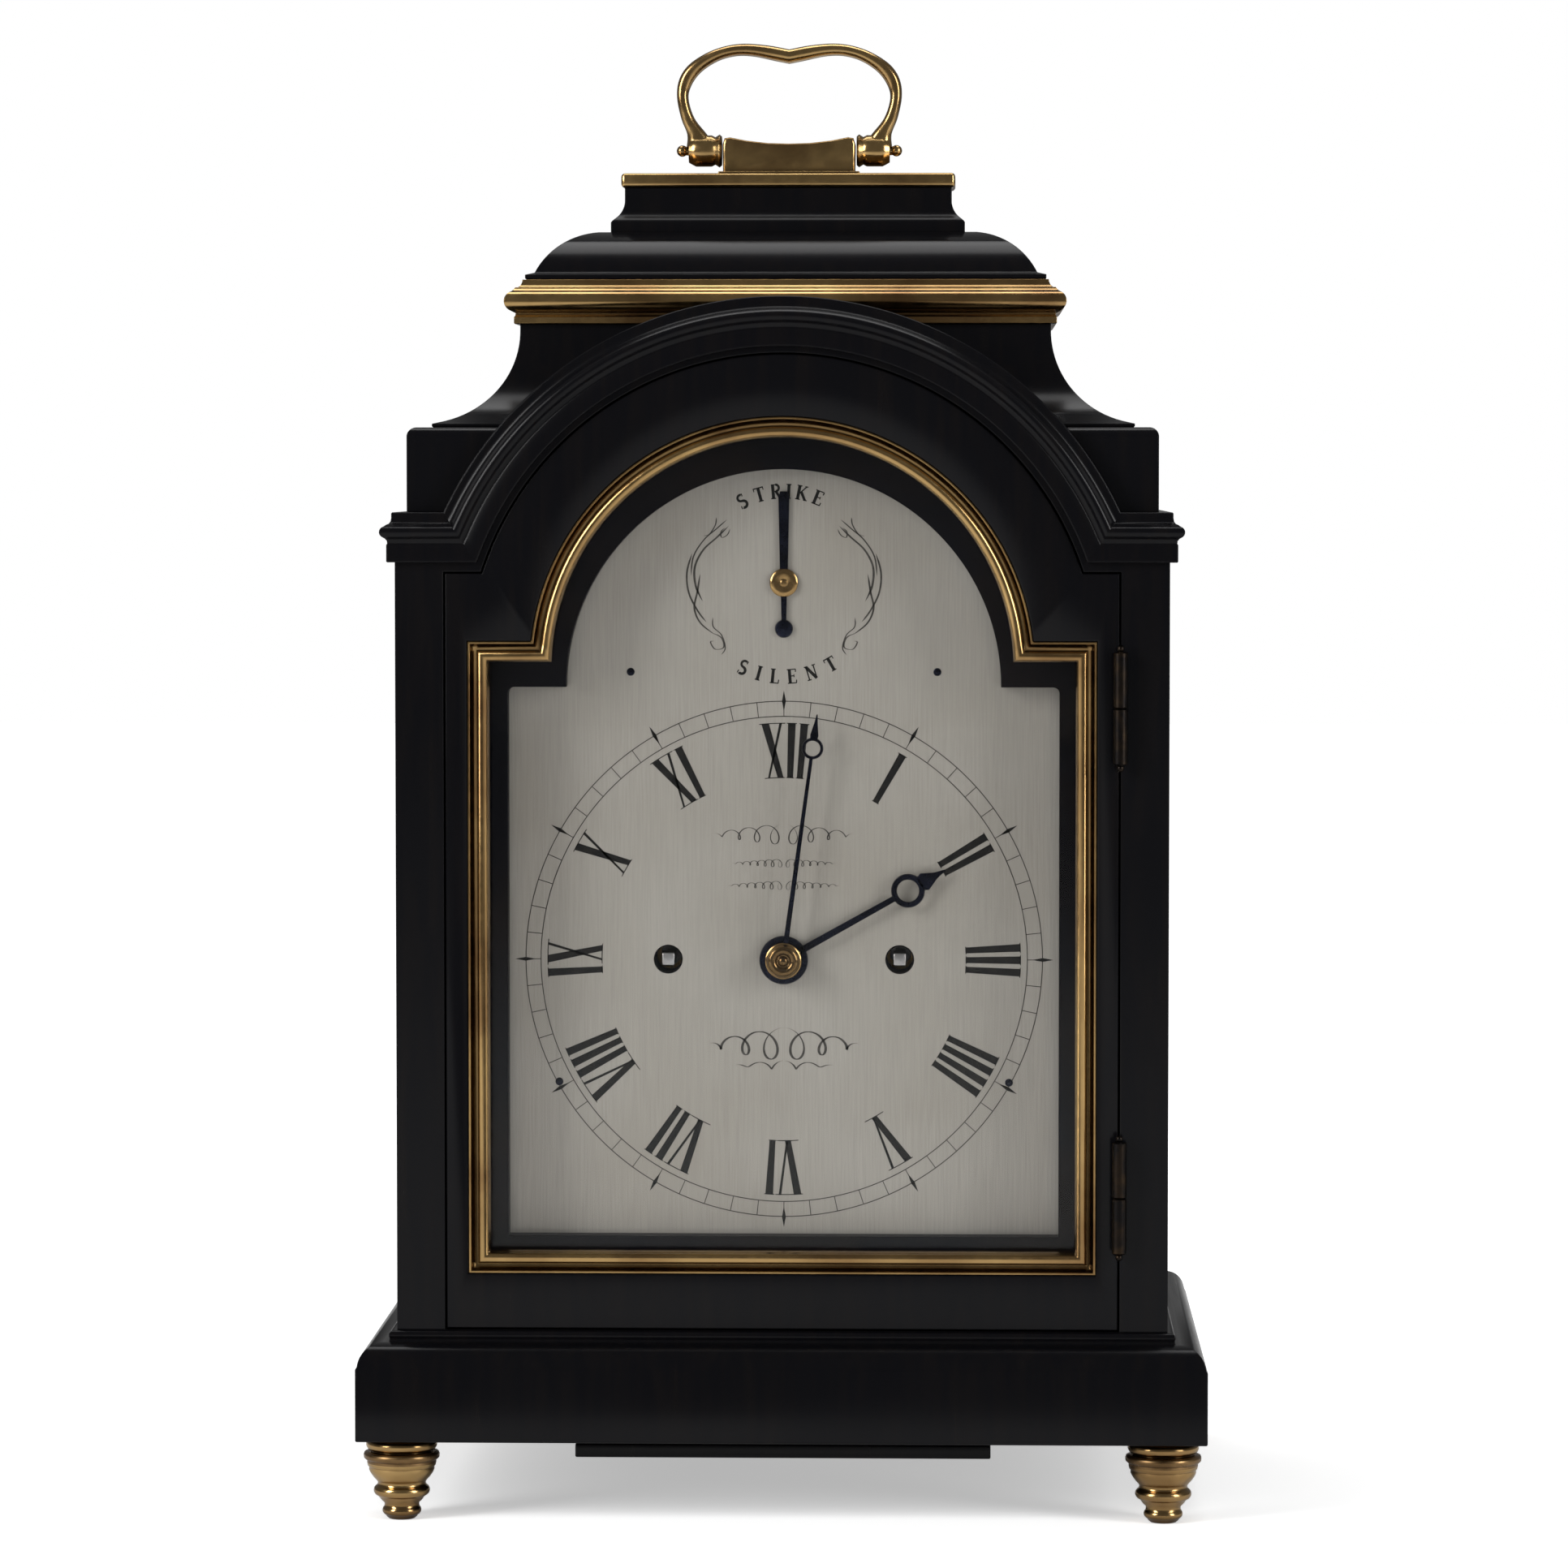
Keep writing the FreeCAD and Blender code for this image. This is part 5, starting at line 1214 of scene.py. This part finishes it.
# studio
def floorFinish():
    # white paper: it takes the shadow near the clock and fades to plain white further off
    material, tree, shader = newFinish("paleFloor")
    cloud = noiseField(tree, 2.0)
    colour = mixColours(tree, cloud, (0.92, 0.92, 0.92), (0.95, 0.95, 0.95))
    tree.links.new(colour, shader.inputs["Base Color"])
    shader.inputs["Roughness"].default_value = 0.7
    shader.inputs["Specular IOR Level"].default_value = 0.2
    shader.inputs["Emission Color"].default_value = (1, 1, 1, 1)
    light = tree.nodes.new("ShaderNodeLightPath")
    seen = tree.nodes.new("ShaderNodeMath")
    seen.operation = "MAXIMUM"
    tree.links.new(light.outputs["Is Camera Ray"], seen.inputs[0])
    tree.links.new(light.outputs["Is Transmission Ray"], seen.inputs[1])
    place = tree.nodes.new("ShaderNodeTexCoord")
    away = tree.nodes.new("ShaderNodeVectorMath")
    away.operation = "LENGTH"
    tree.links.new(place.outputs["Object"], away.inputs[0])
    lift = spread(tree, away.outputs["Value"], 0.45, 1.0, 0.25, 0.9)
    both = tree.nodes.new("ShaderNodeMath")
    both.operation = "MULTIPLY"
    tree.links.new(lift, both.inputs[0])
    tree.links.new(seen.outputs[0], both.inputs[1])
    tree.links.new(both.outputs[0], shader.inputs["Emission Strength"])
    return material


floorShape = newShape()
bmesh.ops.create_grid(floorShape, x_segments=1, y_segments=1, size=6.0)
floorMesh = bpy.data.meshes.new("floor")
floorShape.to_mesh(floorMesh)
floorShape.free()
floorMesh.materials.append(floorFinish())
floorObject = bpy.data.objects.new("floor", floorMesh)
bpy.context.collection.objects.link(floorObject)


def softLamp(name, place, target, size, power):
    data = bpy.data.lights.new(name, "AREA")
    data.shape = "RECTANGLE"
    data.size, data.size_y = size
    data.energy = power
    lamp = bpy.data.objects.new(name, data)
    lamp.location = place
    lamp.rotation_euler = (Vector(target) - Vector(place)).to_track_quat("-Z", "Y").to_euler()
    bpy.context.collection.objects.link(lamp)


softLamp("leftLamp", (-1.7, -1.3, 1.1), (0, 0, 0.25), (0.7, 1.3), 46)
softLamp("rightLamp", (1.8, -1.2, 0.9), (0, 0, 0.25), (0.7, 1.3), 31)
softLamp("topLamp", (0, 0.3, 1.9), (0, 0, 0.2), (1.5, 0.8), 18)

world = bpy.data.worlds.new("studio")
bpy.context.scene.world = world
world.use_nodes = True
sky = world.node_tree
backdrop = sky.nodes["Background"]
backdrop.inputs["Color"].default_value = (1, 1, 1, 1)
rays = sky.nodes.new("ShaderNodeLightPath")
lift = {"plain": 0.10, "Is Glossy Ray": 0.08, "Is Transmission Ray": 0.9, "Is Camera Ray": 0.9}
strength = None
for ray, amount in lift.items():
    step = sky.nodes.new("ShaderNodeMath")
    step.operation = "MULTIPLY_ADD"
    step.inputs[1].default_value = amount
    if ray == "plain":
        step.inputs[0].default_value = 1.0
        step.inputs[2].default_value = 0.0
    else:
        sky.links.new(rays.outputs[ray], step.inputs[0])
        sky.links.new(strength, step.inputs[2])
    strength = step.outputs[0]
sky.links.new(strength, backdrop.inputs["Strength"])
print("studio")
